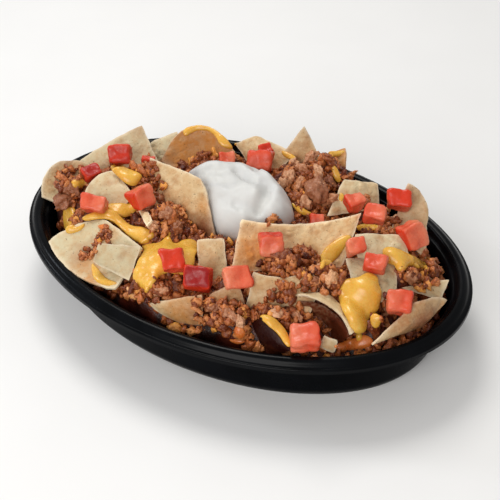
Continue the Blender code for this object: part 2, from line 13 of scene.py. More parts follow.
import bmesh
import bpy
import numpy as np
from mathutils import Matrix, Vector, noise
from mathutils.bvhtree import BVHTree

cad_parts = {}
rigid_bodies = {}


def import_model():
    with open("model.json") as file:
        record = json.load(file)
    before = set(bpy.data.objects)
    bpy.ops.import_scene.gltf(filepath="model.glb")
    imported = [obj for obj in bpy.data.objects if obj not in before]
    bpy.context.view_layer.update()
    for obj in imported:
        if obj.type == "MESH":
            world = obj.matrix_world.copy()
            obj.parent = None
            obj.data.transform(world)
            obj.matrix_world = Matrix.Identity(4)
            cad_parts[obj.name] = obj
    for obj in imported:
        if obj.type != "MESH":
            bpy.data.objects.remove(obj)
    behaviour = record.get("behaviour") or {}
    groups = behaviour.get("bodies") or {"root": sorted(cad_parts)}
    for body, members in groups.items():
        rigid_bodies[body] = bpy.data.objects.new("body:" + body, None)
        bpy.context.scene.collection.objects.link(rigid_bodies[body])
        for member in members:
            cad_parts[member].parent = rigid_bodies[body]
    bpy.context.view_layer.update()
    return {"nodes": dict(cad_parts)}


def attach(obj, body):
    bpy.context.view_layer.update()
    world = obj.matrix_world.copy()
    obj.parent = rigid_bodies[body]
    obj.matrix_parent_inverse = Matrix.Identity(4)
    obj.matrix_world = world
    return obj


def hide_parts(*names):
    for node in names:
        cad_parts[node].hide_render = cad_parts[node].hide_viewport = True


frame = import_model()
MM = 0.001

# %% [markdown]
# ## Camera
#
# The camera stands where the photographer stood: above and a little to the right, with a long lens. It is
# made first, because sauce and crumbs are placed with rays that start from it and land on the food.

# %% Camera
FRAME_PIXELS = 500
PIXELS_PER_UNIT = 1127.68  # focal length in pixels of the frame
EYE = Vector((0.203954, -0.380986, 0.418663))
EYE_RIGHT = Vector((0.89100, 0.45382, -0.01297))
EYE_UP = Vector((-0.29513, 0.60067, 0.74303))
EYE_AHEAD = Vector((-0.34499, 0.65821, -0.66913))


def make_camera():
    lens = bpy.data.cameras.new("camera")
    lens.sensor_width = 36.0
    lens.lens = lens.sensor_width * PIXELS_PER_UNIT / FRAME_PIXELS
    camera = bpy.data.objects.new("camera", lens)
    turn = Matrix((EYE_RIGHT, EYE_UP, -EYE_AHEAD)).transposed()
    camera.matrix_world = Matrix.Translation(EYE) @ turn.to_4x4()
    bpy.context.scene.collection.objects.link(camera)
    bpy.context.scene.camera = camera
    return camera


def sight_line(across, down):
    """The direction from the eye through a place in the frame, in pixels from its top left corner."""
    right = (across - FRAME_PIXELS / 2) / PIXELS_PER_UNIT
    up = (FRAME_PIXELS / 2 - down) / PIXELS_PER_UNIT
    return (EYE_AHEAD + EYE_RIGHT * right + EYE_UP * up).normalized()


print("lens", round(make_camera().data.lens, 1), "mm")

# %% [markdown]
# ## Floor and light
#
# A studio shot of food has one big soft light above and a little behind, so that wet surfaces shine, and a
# bright surround that fills the shadows. The floor is pale and plain.

# %% Floor and light
LIT_SPOT = Vector((0, 0, 0.04))
LIGHTS = {  # place in metres, width, watts and colour
    "key": ((-0.25, 0.25, 0.75), 0.36, 2.9, (1.0, 0.98, 0.94)),
    "fill": ((0.05, -0.75, 0.50), 0.6, 3.9, (1.0, 0.98, 0.96)),
    "edge": ((-0.8, -0.15, 0.45), 0.16, 1.0, (0.84, 0.91, 1.0)),
}
SURROUND, SURROUND_STRENGTH = (1.0, 0.99, 0.97, 1.0), 0.44


def add_light(name, place, size, watts, colour):
    data = bpy.data.lights.new(name, "AREA")
    data.shape = "DISK"
    data.size = size
    data.energy = watts
    data.color = colour
    light = bpy.data.objects.new(name, data)
    light.location = place
    light.rotation_euler = (LIT_SPOT - Vector(place)).to_track_quat("-Z", "Y").to_euler()
    bpy.context.scene.collection.objects.link(light)


def make_studio():
    world = bpy.data.worlds.new("surround")
    world.use_nodes = True
    backdrop = world.node_tree.nodes["Background"].inputs
    backdrop["Color"].default_value = SURROUND
    backdrop["Strength"].default_value = SURROUND_STRENGTH
    bpy.context.scene.world = world
    bpy.context.scene.view_settings.view_transform = "Standard"
    for name, light in LIGHTS.items():
        add_light(name, *light)


make_studio()
print(len(LIGHTS), "lights")

# %% [markdown]
# ## Small helpers
#
# A few helpers keep the later cells short: one adds a shader node and wires it, one turns points and faces
# into a finished piece that rides on the model, and one drops rays onto what is already there.

# %% Shader helpers
SHADER = "Principled BSDF"


def srgb(red, green, blue):
    """A screen colour, 0 to 255, as linear light."""
    light = [((c / 255 + 0.055) / 1.055) ** 2.4 if c > 10 else c / 255 / 12.92 for c in (red, green, blue)]
    return (*light, 1.0)


def add_node(tree, kind, inputs=None, **settings):
    made = tree.nodes.new(kind)
    for key, value in settings.items():
        setattr(made, key, value)
    for key, value in (inputs or {}).items():
        if isinstance(value, bpy.types.NodeSocket):
            tree.links.new(value, made.inputs[key])
        else:
            made.inputs[key].default_value = value
    return made


def start_finish(name, roughness, **plain):
    """A material with constant values on its shader. Gives the material, its tree and the place on it."""
    made = bpy.data.materials.new(name)
    made.use_nodes = True
    tree = made.node_tree
    sockets = tree.nodes[SHADER].inputs
    sockets["Roughness"].default_value = roughness
    for key, value in plain.items():
        sockets[key.replace("_", " ")].default_value = value
    return made, tree, add_node(tree, "ShaderNodeTexCoord").outputs["Object"]


def cloudy(tree, place, millimetres, detail=2.0, roughness=0.5):
    """Noise whose patches are about this wide."""
    scale = 1 / (millimetres * MM)
    return add_node(
        tree,
        "ShaderNodeTexNoise",
        {"Vector": place, "Scale": scale, "Detail": detail, "Roughness": roughness},
    ).outputs[0]


def spread(tree, value, low, high, to_low=0.0, to_high=1.0):
    """The value stretched from one range to another, and kept inside it."""
    return add_node(
        tree,
        "ShaderNodeMapRange",
        {"Value": value, "From Min": low, "From Max": high, "To Min": to_low, "To Max": to_high},
    ).outputs[0]


def mixed(tree, share, first, second):
    made = add_node(tree, "ShaderNodeMix", data_type="RGBA")
    for index, value in ((0, share), (6, first), (7, second)):
        if isinstance(value, bpy.types.NodeSocket):
            tree.links.new(value, made.inputs[index])
        else:
            made.inputs[index].default_value = value
    return made.outputs[2]


def layered(tree, colour, layers):
    """Colours laid over the first one, in order: (share, colour)."""
    for share, over in layers:
        colour = mixed(tree, share, colour, over)
    return colour


def product(tree, first, second):
    made = add_node(tree, "ShaderNodeMath", {0: first, 1: second}, operation="MULTIPLY")
    return made.outputs[0]


def painted(tree, name):
    """A value that the mesh carries at each point."""
    return add_node(tree, "ShaderNodeAttribute", attribute_name=name).outputs["Fac"]


def end_finish(made, colour, roughness, heights):
    """Wires in colour, roughness and bumps over one another: (value, millimetres high, strength)."""
    tree = made.node_tree
    normal = None
    for value, millimetres, strength in heights:
        inputs = {"Height": value, "Distance": millimetres * MM, "Strength": strength}
        if normal is not None:
            inputs["Normal"] = normal
        normal = add_node(tree, "ShaderNodeBump", inputs).outputs["Normal"]
    for key, socket in (("Base Color", colour), ("Roughness", roughness), ("Normal", normal)):
        tree.links.new(socket, tree.nodes[SHADER].inputs[key])
    return made


# %% Mesh helpers
def make_piece(name, points, faces, finish, replaces=(), values=None, sharp=None):
    """A piece of the object from points in millimetres. values maps names to a number for each point."""
    mesh = bpy.data.meshes.new(name)
    mesh.from_pydata((np.asarray(points, float) * MM).tolist(), [], outwards(points, faces))
    for key, numbers in (values or {}).items():
        layer = mesh.attributes.new(key, "FLOAT", "POINT")
        layer.data.foreach_set("value", np.asarray(numbers, np.float32))
    return finish_piece(name, mesh, finish, replaces, sharp)


def finish_piece(name, mesh, finish, replaces=(), sharp=None):
    """Puts a mesh into the scene as a piece that rides on the model and may stand for some of its nodes."""
    mesh.materials.clear()
    mesh.materials.append(finish)
    mesh.shade_smooth()
    if sharp:
        mesh.set_sharp_from_angle(angle=math.radians(sharp))
    piece = bpy.data.objects.new(name, mesh)
    bpy.context.scene.collection.objects.link(piece)
    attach(piece, "root")
    if replaces:
        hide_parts(*replaces)
    return piece


def nodes_named(name):
    """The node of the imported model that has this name, if there is one."""
    return [name] if name in frame["nodes"] else []


def outwards(points, faces):
    """The faces, all turned outwards."""
    shell = bmesh.new()
    for point in points:
        shell.verts.new(point)
    shell.verts.ensure_lookup_table()
    for face in faces:
        shell.faces.new([shell.verts[index] for index in face])
    bmesh.ops.recalc_face_normals(shell, faces=shell.faces)
    shell.verts.index_update()
    turned = [[vertex.index for vertex in face.verts] for face in shell.faces]
    shell.free()
    return turned


def tree_of(pieces):
    """A search tree over the faces of several pieces, in metres."""
    points = []
    faces = []
    for piece in pieces:
        start = len(points)
        points += [vertex.co.copy() for vertex in piece.data.vertices]
        faces += [[start + index for index in face.vertices] for face in piece.data.polygons]
    return BVHTree.FromPolygons(points, faces)


def closed_rings(points, sides, bottom, top):
    """Points and faces of a solid from rings of points, with one point more under and one over them."""
    rings = len(points) // sides
    base, crown, last = len(points), len(points) + 1, (rings - 1) * sides
    faces = []
    for side in range(sides):
        after = (side + 1) % sides
        for low in range(0, last, sides):
            faces.append((low + side, low + after, low + sides + after, low + sides + side))
        faces += [(base, after, side), (crown, last + side, last + after)]
    return [*points, bottom, top], faces


# %% [markdown]
# ## The bowl
#
# The bowl is thin black plastic, formed over a mould: an oval with a beaded rim, a step under it and a gloss
# that has fine scuffs. One profile is swept round the oval. A spline through the profile's corners rounds
# them as a real mould does.

# %% Bowl finish
RIM_LIGHT_FROM = (0.031, 0.036)  # heights in metres between which the gloss grows to that of the rim


def bowl_finish():
    made, tree, place = start_finish("black_plastic_gloss", 0.24, IOR=1.14)
    cloud = cloudy(tree, place, 22, 3.0)
    grain = cloudy(tree, place, 0.7, 2.0)
    height = add_node(tree, "ShaderNodeSeparateXYZ", {"Vector": place}).outputs["Z"]
    on_rim = spread(tree, height, *RIM_LIGHT_FROM, 0.1, 0.95)
    tree.links.new(on_rim, tree.nodes[SHADER].inputs["Specular IOR Level"])
    colour = mixed(tree, spread(tree, cloud, 0.35, 0.7), srgb(3, 4, 6), srgb(8, 10, 14))
    roughness = spread(tree, cloud, 0.3, 0.75, 0.17, 0.36)
    return end_finish(made, colour, roughness, [(cloud, 0.25, 0.3), (grain, 0.02, 0.35)])


# %% Bowl
HALF_LENGTH = 120.0
HALF_WIDTH = 80.0
BOWL_SIDES = 192
# The bowl's profile: (inset from the outer oval, height), in millimetres, up from the foot and then inwards.
BOWL_UNDER = [
    (18.0, 0.0), (15.4, 4.2), (9.3, 33.4), (7.5, 34.4), (6.4, 37.3), (4.2, 37.4), (1.4, 35.2), (1.0, 33.6),
]
BOWL_OVER = [
    (0.0, 33.6), (0.0, 36.0), (1.7, 36.5), (3.1, 38.5), (5.2, 39.3), (7.2, 38.5), (8.6, 35.5), (10.2, 34.6),
    (16.6, 5.0), (20.5, 1.3),
]


def oval_point(inset, angle):
    return (HALF_LENGTH - inset) * math.cos(angle), (HALF_WIDTH - inset) * math.sin(angle)


def rounded_profile(corners, steps=5, pull=0.5):
    """A profile whose corners are eased by a spline with a short reach."""
    path = [Vector(corner) for corner in corners]
    points = [path[0]]
    for before, corner, after in zip(path, path[1:], path[2:]):
        reach = min((before - corner).length, (after - corner).length) * pull
        start = corner + (before - corner).normalized() * reach
        end = corner + (after - corner).normalized() * reach
        for step in range(steps + 1):
            share = step / steps
            points.append((1 - share) ** 2 * start + 2 * share * (1 - share) * corner + share**2 * end)
    points.append(path[-1])
    return points


def oval_ring(inset, height, sides):
    return [(*oval_point(inset, math.tau * side / sides), height) for side in range(sides)]


def make_bowl():
    profile = rounded_profile(BOWL_UNDER) + rounded_profile(BOWL_OVER)
    rings = [point for inset, height in profile for point in oval_ring(inset, height, BOWL_SIDES)]
    points, faces = closed_rings(rings, BOWL_SIDES, (0, 0, 0), (0, 0, profile[-1][1]))
    return make_piece("bowl_glossy", points, faces, bowl_finish(), ["bowl"], sharp=50)


bowl = make_bowl()
print("bowl", len(bowl.data.polygons), "faces")

# %% [markdown]
# ## Tortilla chips
#
# A chip is a thin sheet of corn dough, cut into strips and triangles and fried until it buckles. The frying
# leaves blisters, a wavy edge and dark specks of corn. Each chip is a grid between its corners: bows bend its
# edges, a belly lifts its middle, noise buckles it, and blisters stand out of either side.

# %% Chip finish
def chip_finish():
    made, tree, place = start_finish("fried_corn", 0.5, Specular_IOR_Level=0.35)
    cloud = cloudy(tree, place, 9, 3.0)
    fine = cloudy(tree, place, 1.6, 3.0, 0.6)
    grain = cloudy(tree, place, 0.5, 2.0)
    flecks = cloudy(tree, place, 0.95, 1.0)
    mottle = cloudy(tree, place, 3.5, 3.0, 0.6)
    pale = product(tree, painted(tree, "pale"), spread(tree, mottle, 0.36, 0.62, 1.0, 0.5))
    toasted = product(tree, painted(tree, "toast"), spread(tree, fine, 0.25, 0.75, 0.55, 1.0))
    # Soak paints dark juice stains, and also painted shade on the faces of chips that lie in shadow.
    soak_and_shade_share = product(tree, painted(tree, "soak"), spread(tree, fine, 0.2, 0.6, 0.75, 1.0))
    glazed = product(tree, painted(tree, "glaze"), spread(tree, mottle, 0.3, 0.65, 0.45, 1.0))
    layers = [
        (spread(tree, cloud, 0.36, 0.66), srgb(216, 176, 124)),
        (spread(tree, mottle, 0.46, 0.7, 0.0, 0.7), srgb(204, 152, 98)),
        (spread(tree, fine, 0.5, 0.8, 0.0, 0.45), srgb(208, 164, 108)),
        (pale, srgb(220, 206, 168)),
        (painted(tree, "edge"), srgb(248, 230, 198)),
        (toasted, srgb(172, 108, 56)),
        # Painted shade: soaked faces go dark brown, and past one the soak paints the near-black shadow deep
        # under chips.
        (soak_and_shade_share, srgb(110, 50, 24)),
        (spread(tree, painted(tree, "soak"), 1.0, 1.6), srgb(44, 8, 4)),
        (glazed, srgb(208, 138, 64)),
        (spread(tree, flecks, 0.70, 0.76, 0.0, 0.75), srgb(112, 78, 48)),
    ]
    colour = {0: layered(tree, srgb(232, 204, 158), layers), "Scale": painted(tree, "shade")}
    shaded = add_node(tree, "ShaderNodeVectorMath", colour, operation="SCALE").outputs[0]
    roughness = spread(tree, cloud, 0.35, 0.65, 0.38, 0.6)
    bumps = [(cloud, 1.8, 0.7), (mottle, 1.1, 0.6), (fine, 0.4, 0.6), (grain, 0.1, 0.5)]
    return end_finish(made, shaded, roughness, bumps)


fried_corn = chip_finish()

# %% Chip places
# The corners go round each chip, in millimetres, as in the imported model. "belly" lifts the middle and "bows"
# bends the edge that starts at that corner: (outwards, lift). "pale" and "toast" say how much of its dough is
# pale or brown, and "shade" how light it looks.
CHIPS = {
    "chip_small_front_left": dict(
        corners=[(-52, -58, 48), (-53, -50, 53), (-32, -44, 55), (-30, -60, 46)], belly=1.5, pale=0.8,
        shade=0.76,
    ),
    "chip_front_left": dict(
        corners=[(-85, -50, 41.5), (-62, -30, 50), (-33, -41, 51), (-36, -64, 41)], belly=-3.0,
        bows={3: (5, -1), 0: (3, 1)}, pale=1.0,
    ),
    "chip_front_middle": dict(
        corners=[(27, -41, 60), (55, -19, 60), (56, -39, 42), (27, -49, 43)], belly=3.0, bows={0: (-5, 0)},
    ),
    "chip_centre_large": dict(
        corners=[(8, -16, 66), (56, 21, 60), (57, -4, 44), (13, -37, 50)], belly=-2.0, bows={0: (-4, 0)},
        shade=1.12,
    ),
    "chip_centre_upright": dict(
        corners=[(-58, 9, 64), (-22, 0, 69), (-6, -17, 47), (-44, -10, 38)], belly=3.0, bows={1: (2, 1)},
    ),
    "chip_centre_low": dict(corners=[(-9, -30, 57), (3, -24, 58), (11, -36, 43), (1, -47, 43)], belly=1.0),
    "chip_right_pale": dict(
        corners=[(60, -9, 55), (82, 4, 53), (90, -18, 46), (74, -26, 49)], belly=1.5, pale=0.7, shade=0.7,
    ),
    "chip_right_middle": dict(
        corners=[(58, 6, 58), (78, 17, 57), (88, 8, 50), (66, -7, 53)], belly=1.5, pale=0.9,
    ),
    "chip_roof": dict(
        corners=[(48, -39, 52), (79, -45, 45), (80, -35, 43), (60, -30, 51)], belly=1.5, bows={0: (-5, 2)},
        pale=0.5,
    ),
    "chip_fan": dict(
        corners=[(88, -43, 41), (99, -22, 54), (111, -6, 48), (104, -20, 39)], belly=3.0,
        bows={0: (1, 2), 1: (2, 0)}, toast=0.25,
    ),
    "chip_right_tip": dict(corners=[(88, -7, 46), (107, 9, 46), (107, -1, 41)], belly=1.0, pale=0.5),
    "chip_right_spike": dict(
        corners=[(70, 46, 66), (83, 43, 52), (90, 24, 40), (68, 31, 44)], belly=-2.0, bows={0: (3, 0)},
        pale=0.5, shade=0.95, toast=0.3,
    ),
    "chip_right_upper": dict(
        corners=[(36, 44, 57), (52, 52, 55), (57, 43, 46), (38, 19, 52)], belly=1.5, pale=0.6,
    ),
    "chip_front_tip": dict(
        corners=[(-17, -65, 41.5), (9, -57, 52), (11, -62, 36)], belly=1.5, bows={2: (3, 0)},
    ),
    "chip_front_brown": dict(
        corners=[(11, -56, 51), (22, -46, 57), (29, -50, 40), (14, -59, 36)], belly=1.0, toast=0.75,
    ),
    "chip_front_low": dict(corners=[(39, -57, 50), (57, -62, 41), (46, -57, 28), (29, -52, 34)], belly=-2.0),
    "chip_under_roof": dict(
        corners=[(50, -39, 49), (78, -44, 43), (70, -39, 28), (50, -36, 30)], belly=2.5, bows={0: (0, 5)},
    ),
    "chip_front_stub": dict(
        corners=[(67, -53, 40), (68, -50, 45), (75, -49, 44), (74, -52, 38)], belly=0.5, shade=0.68,
    ),
    "chip_left_middle": dict(
        corners=[(-85, -15, 48), (-75, -1, 57), (-57, -10, 53), (-63, -25, 44)], belly=2.0, bows={0: (2, 1)},
        pale=0.7,
    ),
    "chip_far_left": dict(
        corners=[(-110, -20, 40), (-102, 13, 43), (-84, -6, 24)], belly=-3.0, bows={0: (10, 1)}, pale=0.3,
    ),
    "chip_back_left": dict(
        corners=[(-108, 11, 42), (-82, 40, 57), (-62, 27, 38), (-86, -2, 30)], belly=2.0, bows={0: (1, 0)},
        pale=0.8, shade=0.8,
    ),
    "chip_back_pale": dict(
        corners=[(-80, 42, 44), (-67, 52, 50), (-56, 40, 34), (-74, 35.5, 36)], belly=1.0, pale=1.0,
    ),
    "chip_back_arch": dict(
        corners=[(-66, 31, 44), (-29, 49, 50), (-40, 28, 34)], belly=-5.0, bows={0: (17, 0)}, shade=0.95,
    ),
    "chip_back_right": dict(corners=[(-36, 61, 45), (-25, 66, 51), (1, 61, 51), (-8, 44, 36)], belly=1.5),
    "chip_back_spike": dict(corners=[(3, 67, 66), (20, 64, 40), (-12, 54, 38)], belly=1.0),
    "chip_back_hook": dict(
        corners=[(18, 63, 55), (28, 66, 60), (31, 54, 44), (20, 57, 42)], bows={1: (2, 2)}, toast=0.3,
    ),
}

# Where sauce or juice has soaked in, or the frying has browned: (kind, across, down, millimetres, strength).
# The place is a pixel of the frame and is looked for on that chip alone. Soak stains are partly juice and
# partly painted shade, on chip faces that lie in shadow.
STAINS = {
    "chip_back_arch": [
        ("glaze", 188, 148, 24, 1.0), ("glaze", 215, 145, 24, 1.0), ("toast", 205, 150, 16, 0.5),
        ("soak", 172, 158, 9, 0.6),
    ],
    # Its lower part is darkened, partly as juice and partly as painted shade.
    "chip_centre_upright": [
        ("toast", 186, 230, 12, 1.0), ("soak", 190, 232, 10, 0.8), ("soak", 203, 232, 9, 0.9),
        ("soak", 180, 226, 6, 0.5), ("toast", 202, 226, 8, 0.9), ("glaze", 203, 205, 5, 0.8),
        ("toast", 160, 200, 6, 0.3),
    ],
    "chip_centre_large": [
        ("toast", 250, 255, 9, 0.9), ("toast", 262, 258, 8, 0.8), ("glaze", 254, 254, 10, 0.8),
    ],
    # Painted shadow: this chip's face that lies in shadow is painted dark brown to near black.
    "chip_front_low": [("soak", 262, 330, 22, 1.7), ("soak", 280, 340, 20, 1.7)],
    # Painted shade: the face under the roof chip, in shadow, is painted dark brown.
    "chip_under_roof": [
        ("soak", 325, 318, 30, 1.0), ("soak", 308, 303, 30, 1.0), ("soak", 340, 330, 20, 1.2),
    ],
    "chip_front_stub": [("toast", 322, 338, 9, 0.9), ("glaze", 318, 344, 6, 0.8)],
    "chip_front_left": [
        ("toast", 83, 258, 8, 0.8), ("glaze", 85, 268, 8, 0.7), ("glaze", 91, 279, 7, 0.8),
        ("toast", 95, 250, 8, 0.5), ("glaze", 112, 236, 5, 0.5),
    ],
    "chip_front_tip": [
        ("toast", 186, 312, 12, 0.8), ("glaze", 178, 314, 9, 0.7), ("glaze", 196, 302, 7, 0.7),
        ("soak", 196, 318, 6, 0.4),
    ],
    "chip_right_pale": [("toast", 392, 240, 12, 0.5), ("glaze", 398, 246, 8, 0.4)],
    "chip_front_middle": [("toast", 275, 292, 10, 0.45)],
    # Its lower part is darkened, partly as toast and juice and partly as painted shade.
    "chip_fan": [
        ("toast", 405, 325, 10, 0.9), ("toast", 420, 322, 10, 1.0), ("soak", 422, 325, 9, 0.8),
        ("soak", 432, 314, 8, 0.6), ("soak", 410, 333, 9, 0.7), ("soak", 394, 338, 7, 0.5),
    ],
    "chip_back_left": [("toast", 138, 128, 5, 0.5)],
    "chip_left_middle": [("toast", 122, 200, 8, 0.45)],
    "chip_back_hook": [("glaze", 338, 152, 9, 1.0), ("glaze", 341, 162, 9, 0.9)],
}


# %% Chip shapes
CHIP_THICKNESS = 1.7
CHIP_CELL = 1.0  # millimetres between the points of a chip's grid
BUCKLE = ((15.0, 0.8), (6.0, 0.42), (2.2, 0.13))  # (width of the swell, how far it swells)
FRAY = 2.5  # how far in from the rim the edge is ragged
BLISTER_WIDTHS, BLISTER_HEIGHTS = (1.2, 3.6), (0.2, 0.85)
POINTS_A_BLISTER = 90


def chip_grid(count, steps):
    """The grid over a chip: each point's share of every corner, its faces and the way round its rim."""
    if count == 3:
        keys = [(i, j) for i in range(steps + 1) for j in range(steps + 1 - i)]
        shares = [((steps - i - j) / steps, i / steps, j / steps) for i, j in keys]
    else:
        keys = [(i, j) for i in range(steps + 1) for j in range(steps + 1)]
        pairs = [(i / steps, j / steps) for i, j in keys]
        shares = [((1 - u) * (1 - v), u * (1 - v), u * v, (1 - u) * v) for u, v in pairs]
    index = {key: number for number, key in enumerate(keys)}
    faces = []
    for i in range(steps):
        for j in range(steps - i if count == 3 else steps):
            if count == 4:
                faces.append((index[i, j], index[i + 1, j], index[i + 1, j + 1], index[i, j + 1]))
                continue
            faces.append((index[i, j], index[i + 1, j], index[i, j + 1]))
            if i + j < steps - 1:
                faces.append((index[i + 1, j], index[i + 1, j + 1], index[i, j + 1]))
    rim = [index[i, 0] for i in range(steps)]
    if count == 3:
        rim += [index[steps - j, j] for j in range(steps)]
        rim += [index[0, j] for j in range(steps, 0, -1)]
    else:
        rim += [index[steps, j] for j in range(steps)]
        rim += [index[i, steps] for i in range(steps, 0, -1)]
        rim += [index[0, j] for j in range(steps, 0, -1)]
    return np.array(shares), faces, rim


def chip_sheet(corners, belly, bows, shares):
    """The middle surface of a chip, its upward normal and each point's distance from the rim."""
    count = len(corners)
    middle = sum(corners, Vector()) / count
    up = Vector()
    for index, corner in enumerate(corners):
        up += (corner - middle).cross(corners[(index + 1) % count] - middle)
    up = up.normalized() * (1 if up.z > 0 else -1)
    sheet = shares @ np.array(corners)
    size = min((corner - middle).length for corner in corners)
    if count == 4:
        along = shares[:, 1] + shares[:, 2]
        across = shares[:, 2] + shares[:, 3]
        bump = 16 * along * (1 - along) * across * (1 - across)
        length = ((corners[1] - corners[0]).length + (corners[2] - corners[3]).length) / 2
        width = ((corners[3] - corners[0]).length + (corners[2] - corners[1]).length) / 2
        inside = np.minimum(np.minimum(along, 1 - along) * length, np.minimum(across, 1 - across) * width)
    else:
        bump = 27 * shares.prod(axis=1)
        inside = shares.min(axis=1) * size * 2
    sheet += np.outer(bump, up) * belly
    for edge, (out, lift) in bows.items():
        first, second = edge, (edge + 1) % count
        chord = (corners[second] - corners[first]).normalized()
        side = (corners[first] + corners[second]) / 2 - middle
        side -= chord * side.dot(chord)
        bend = 4 * shares[:, first] * shares[:, second]
        sheet += np.outer(bend, side.normalized() * out + up * lift)
    return sheet, up, middle, inside


def sheet_normals(sheet, faces):
    """A unit normal for each point of a surface, from the faces round it."""
    normals = np.zeros_like(sheet)
    for face in faces:
        a, b, c = (sheet[index] for index in face[:3])
        normal = np.cross(b - a, c - a)
        for index in face:
            normals[index] += normal
    return normals / np.maximum(np.linalg.norm(normals, axis=1, keepdims=True), 1e-9)


def blisters(draw, sheet, inside, count):
    """How far blisters lift each point of one side of a chip."""
    lift = np.zeros(len(sheet))
    for _ in range(count):
        centre = sheet[draw.randrange(len(sheet))]
        radius = draw.uniform(*BLISTER_WIDTHS)
        near = np.linalg.norm(sheet - centre, axis=1) / radius
        swell = np.where(near < 1, (1 - near**2) ** 2, 0) * draw.uniform(*BLISTER_HEIGHTS)
        lift = np.maximum(lift, swell)
    return lift * np.clip(inside / 1.5, 0, 1)


def make_chip(name, corners, belly=0.0, bows=None, pale=0.1, shade=0.88, toast=0.0):
    draw = random.Random(name)
    corners = [Vector(corner) for corner in corners]
    count = len(corners)
    longest = max((corners[index - 1] - corners[index]).length for index in range(count))
    steps = max(12, round(longest / CHIP_CELL))
    shares, faces, rim = chip_grid(count, steps)
    sheet, up, middle, inside = chip_sheet(corners, belly, bows or {}, shares)
    shift = Vector((draw.uniform(0, 99), draw.uniform(0, 99), draw.uniform(0, 99)))
    offset = np.array([sum(noise.noise(Vector(p) / w + shift) * h for w, h in BUCKLE) for p in sheet])
    ragged = [noise.noise(Vector(p) / 5 - shift) * 0.8 + noise.noise(Vector(p) / 1.7) * 0.3 for p in sheet]
    inward = np.array(middle) - sheet
    inward -= np.outer(inward @ np.array(up), up)
    inward /= np.maximum(np.linalg.norm(inward, axis=1, keepdims=True), 1e-6)
    blunt = 0.5 * np.clip((shares.max(axis=1) - 0.86) / 0.14, 0, 1) ** 2
    frayed = (np.array(ragged) * 0.6 + 0.15) * np.exp(-((inside / FRAY) ** 2))
    sheet = sheet + inward * (frayed + blunt)[:, None]
    sheet += np.outer(offset, up)
    normals = sheet_normals(sheet, faces)
    many = max(3, round(len(sheet) / POINTS_A_BLISTER))
    half = CHIP_THICKNESS / 2 * (1 - 0.4 * np.exp(-((inside / 1.2) ** 2)))
    over, under = (half + blisters(draw, sheet, inside, many) for _ in range(2))
    points = np.vstack([sheet + normals * over[:, None], sheet - normals * under[:, None]])
    total = len(sheet)
    skin = [tuple(face) for face in faces]
    skin += [tuple(total + index for index in face[::-1]) for face in faces]
    for index, start in enumerate(rim):
        end = rim[(index + 1) % len(rim)]
        skin.append((start, start + total, end + total, end))
    patches = np.array([noise.noise(Vector(p) / 8 + shift * 2) for p in sheet])
    browned = np.clip(np.clip(patches * 1.6 - 0.35, 0, 0.55) + toast, 0, 1)
    values = {
        "edge": np.tile(np.exp(-((inside / 0.9) ** 2)) * 0.8, 2),
        "toast": np.tile(browned, 2),
        "pale": np.full(2 * total, pale),
        "shade": np.full(2 * total, shade),
        "soak": np.zeros(2 * total),
        "glaze": np.zeros(2 * total),
    }
    new_name = name.replace("chip", "crisp")
    chip = make_piece(new_name, points, skin, fried_corn, nodes_named(name), values, 48)
    stain_chip(chip, STAINS.get(name, ()))
    return chip


def stain_chip(chip, stains):
    """Raises the stain values round the places where rays from the eye meet the chip."""
    tree = tree_of([chip])
    places = np.array([vertex.co for vertex in chip.data.vertices]) / MM
    for kind, across, down, reach, strength in stains:
        hit = tree.ray_cast(EYE, sight_line(across, down))[0]
        if hit is None:
            print("no chip there for a stain:", chip.name, across, down)
            continue
        near = np.linalg.norm(places - np.array(hit) / MM, axis=1) / reach
        layer = chip.data.attributes[kind].data
        values = np.zeros(len(places), np.float32)
        layer.foreach_get("value", values)
        stained = np.maximum(values, np.clip(1.25 - near, 0, 1) * strength)
        layer.foreach_set("value", stained.astype(np.float32))


chips = [make_chip(name, **shape) for name, shape in CHIPS.items()]
print(len(chips), "chips,", sum(len(chip.data.polygons) for chip in chips), "faces")

# %% [markdown]
# ## Diced tomato
#
# Each die is a block of firm flesh, and one of its sides is the shiny skin of the fruit. Knife edges are
# soft, so a cube is rounded by pulling its grid onto a smaller box with a rim, and then bent to the uneven
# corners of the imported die.

# %% Tomato finish
def tomato_finish():
    made, tree, place = start_finish(
        "tomato_flesh", 0.34, Specular_IOR_Level=0.36, Subsurface_Weight=0.12, Subsurface_Scale=0.003
    )
    cloud = cloudy(tree, place, 6, 2.0)
    strand = cloudy(tree, place, 1.3, 3.0, 0.6)
    core = product(tree, painted(tree, "core"), spread(tree, strand, 0.3, 0.7, 0.5, 1.0))
    skin = mixed(tree, spread(tree, painted(tree, "ripe"), 0.6, 1.0), srgb(208, 54, 26), srgb(150, 18, 16))
    layers = [
        (spread(tree, cloud, 0.35, 0.65), srgb(226, 108, 76)),
        (spread(tree, strand, 0.55, 0.8, 0.0, 0.5), srgb(234, 136, 102)),
        (core, srgb(234, 148, 112)),
        (painted(tree, "ripe"), srgb(210, 58, 32)),
        (painted(tree, "skin"), skin),
    ]
    colour = layered(tree, srgb(214, 84, 54), layers)
    roughness = spread(tree, strand, 0.3, 0.7, 0.22, 0.44)
    return end_finish(made, colour, roughness, [(cloud, 0.4, 0.3), (strand, 0.25, 0.45)])


tomato_flesh = tomato_finish()

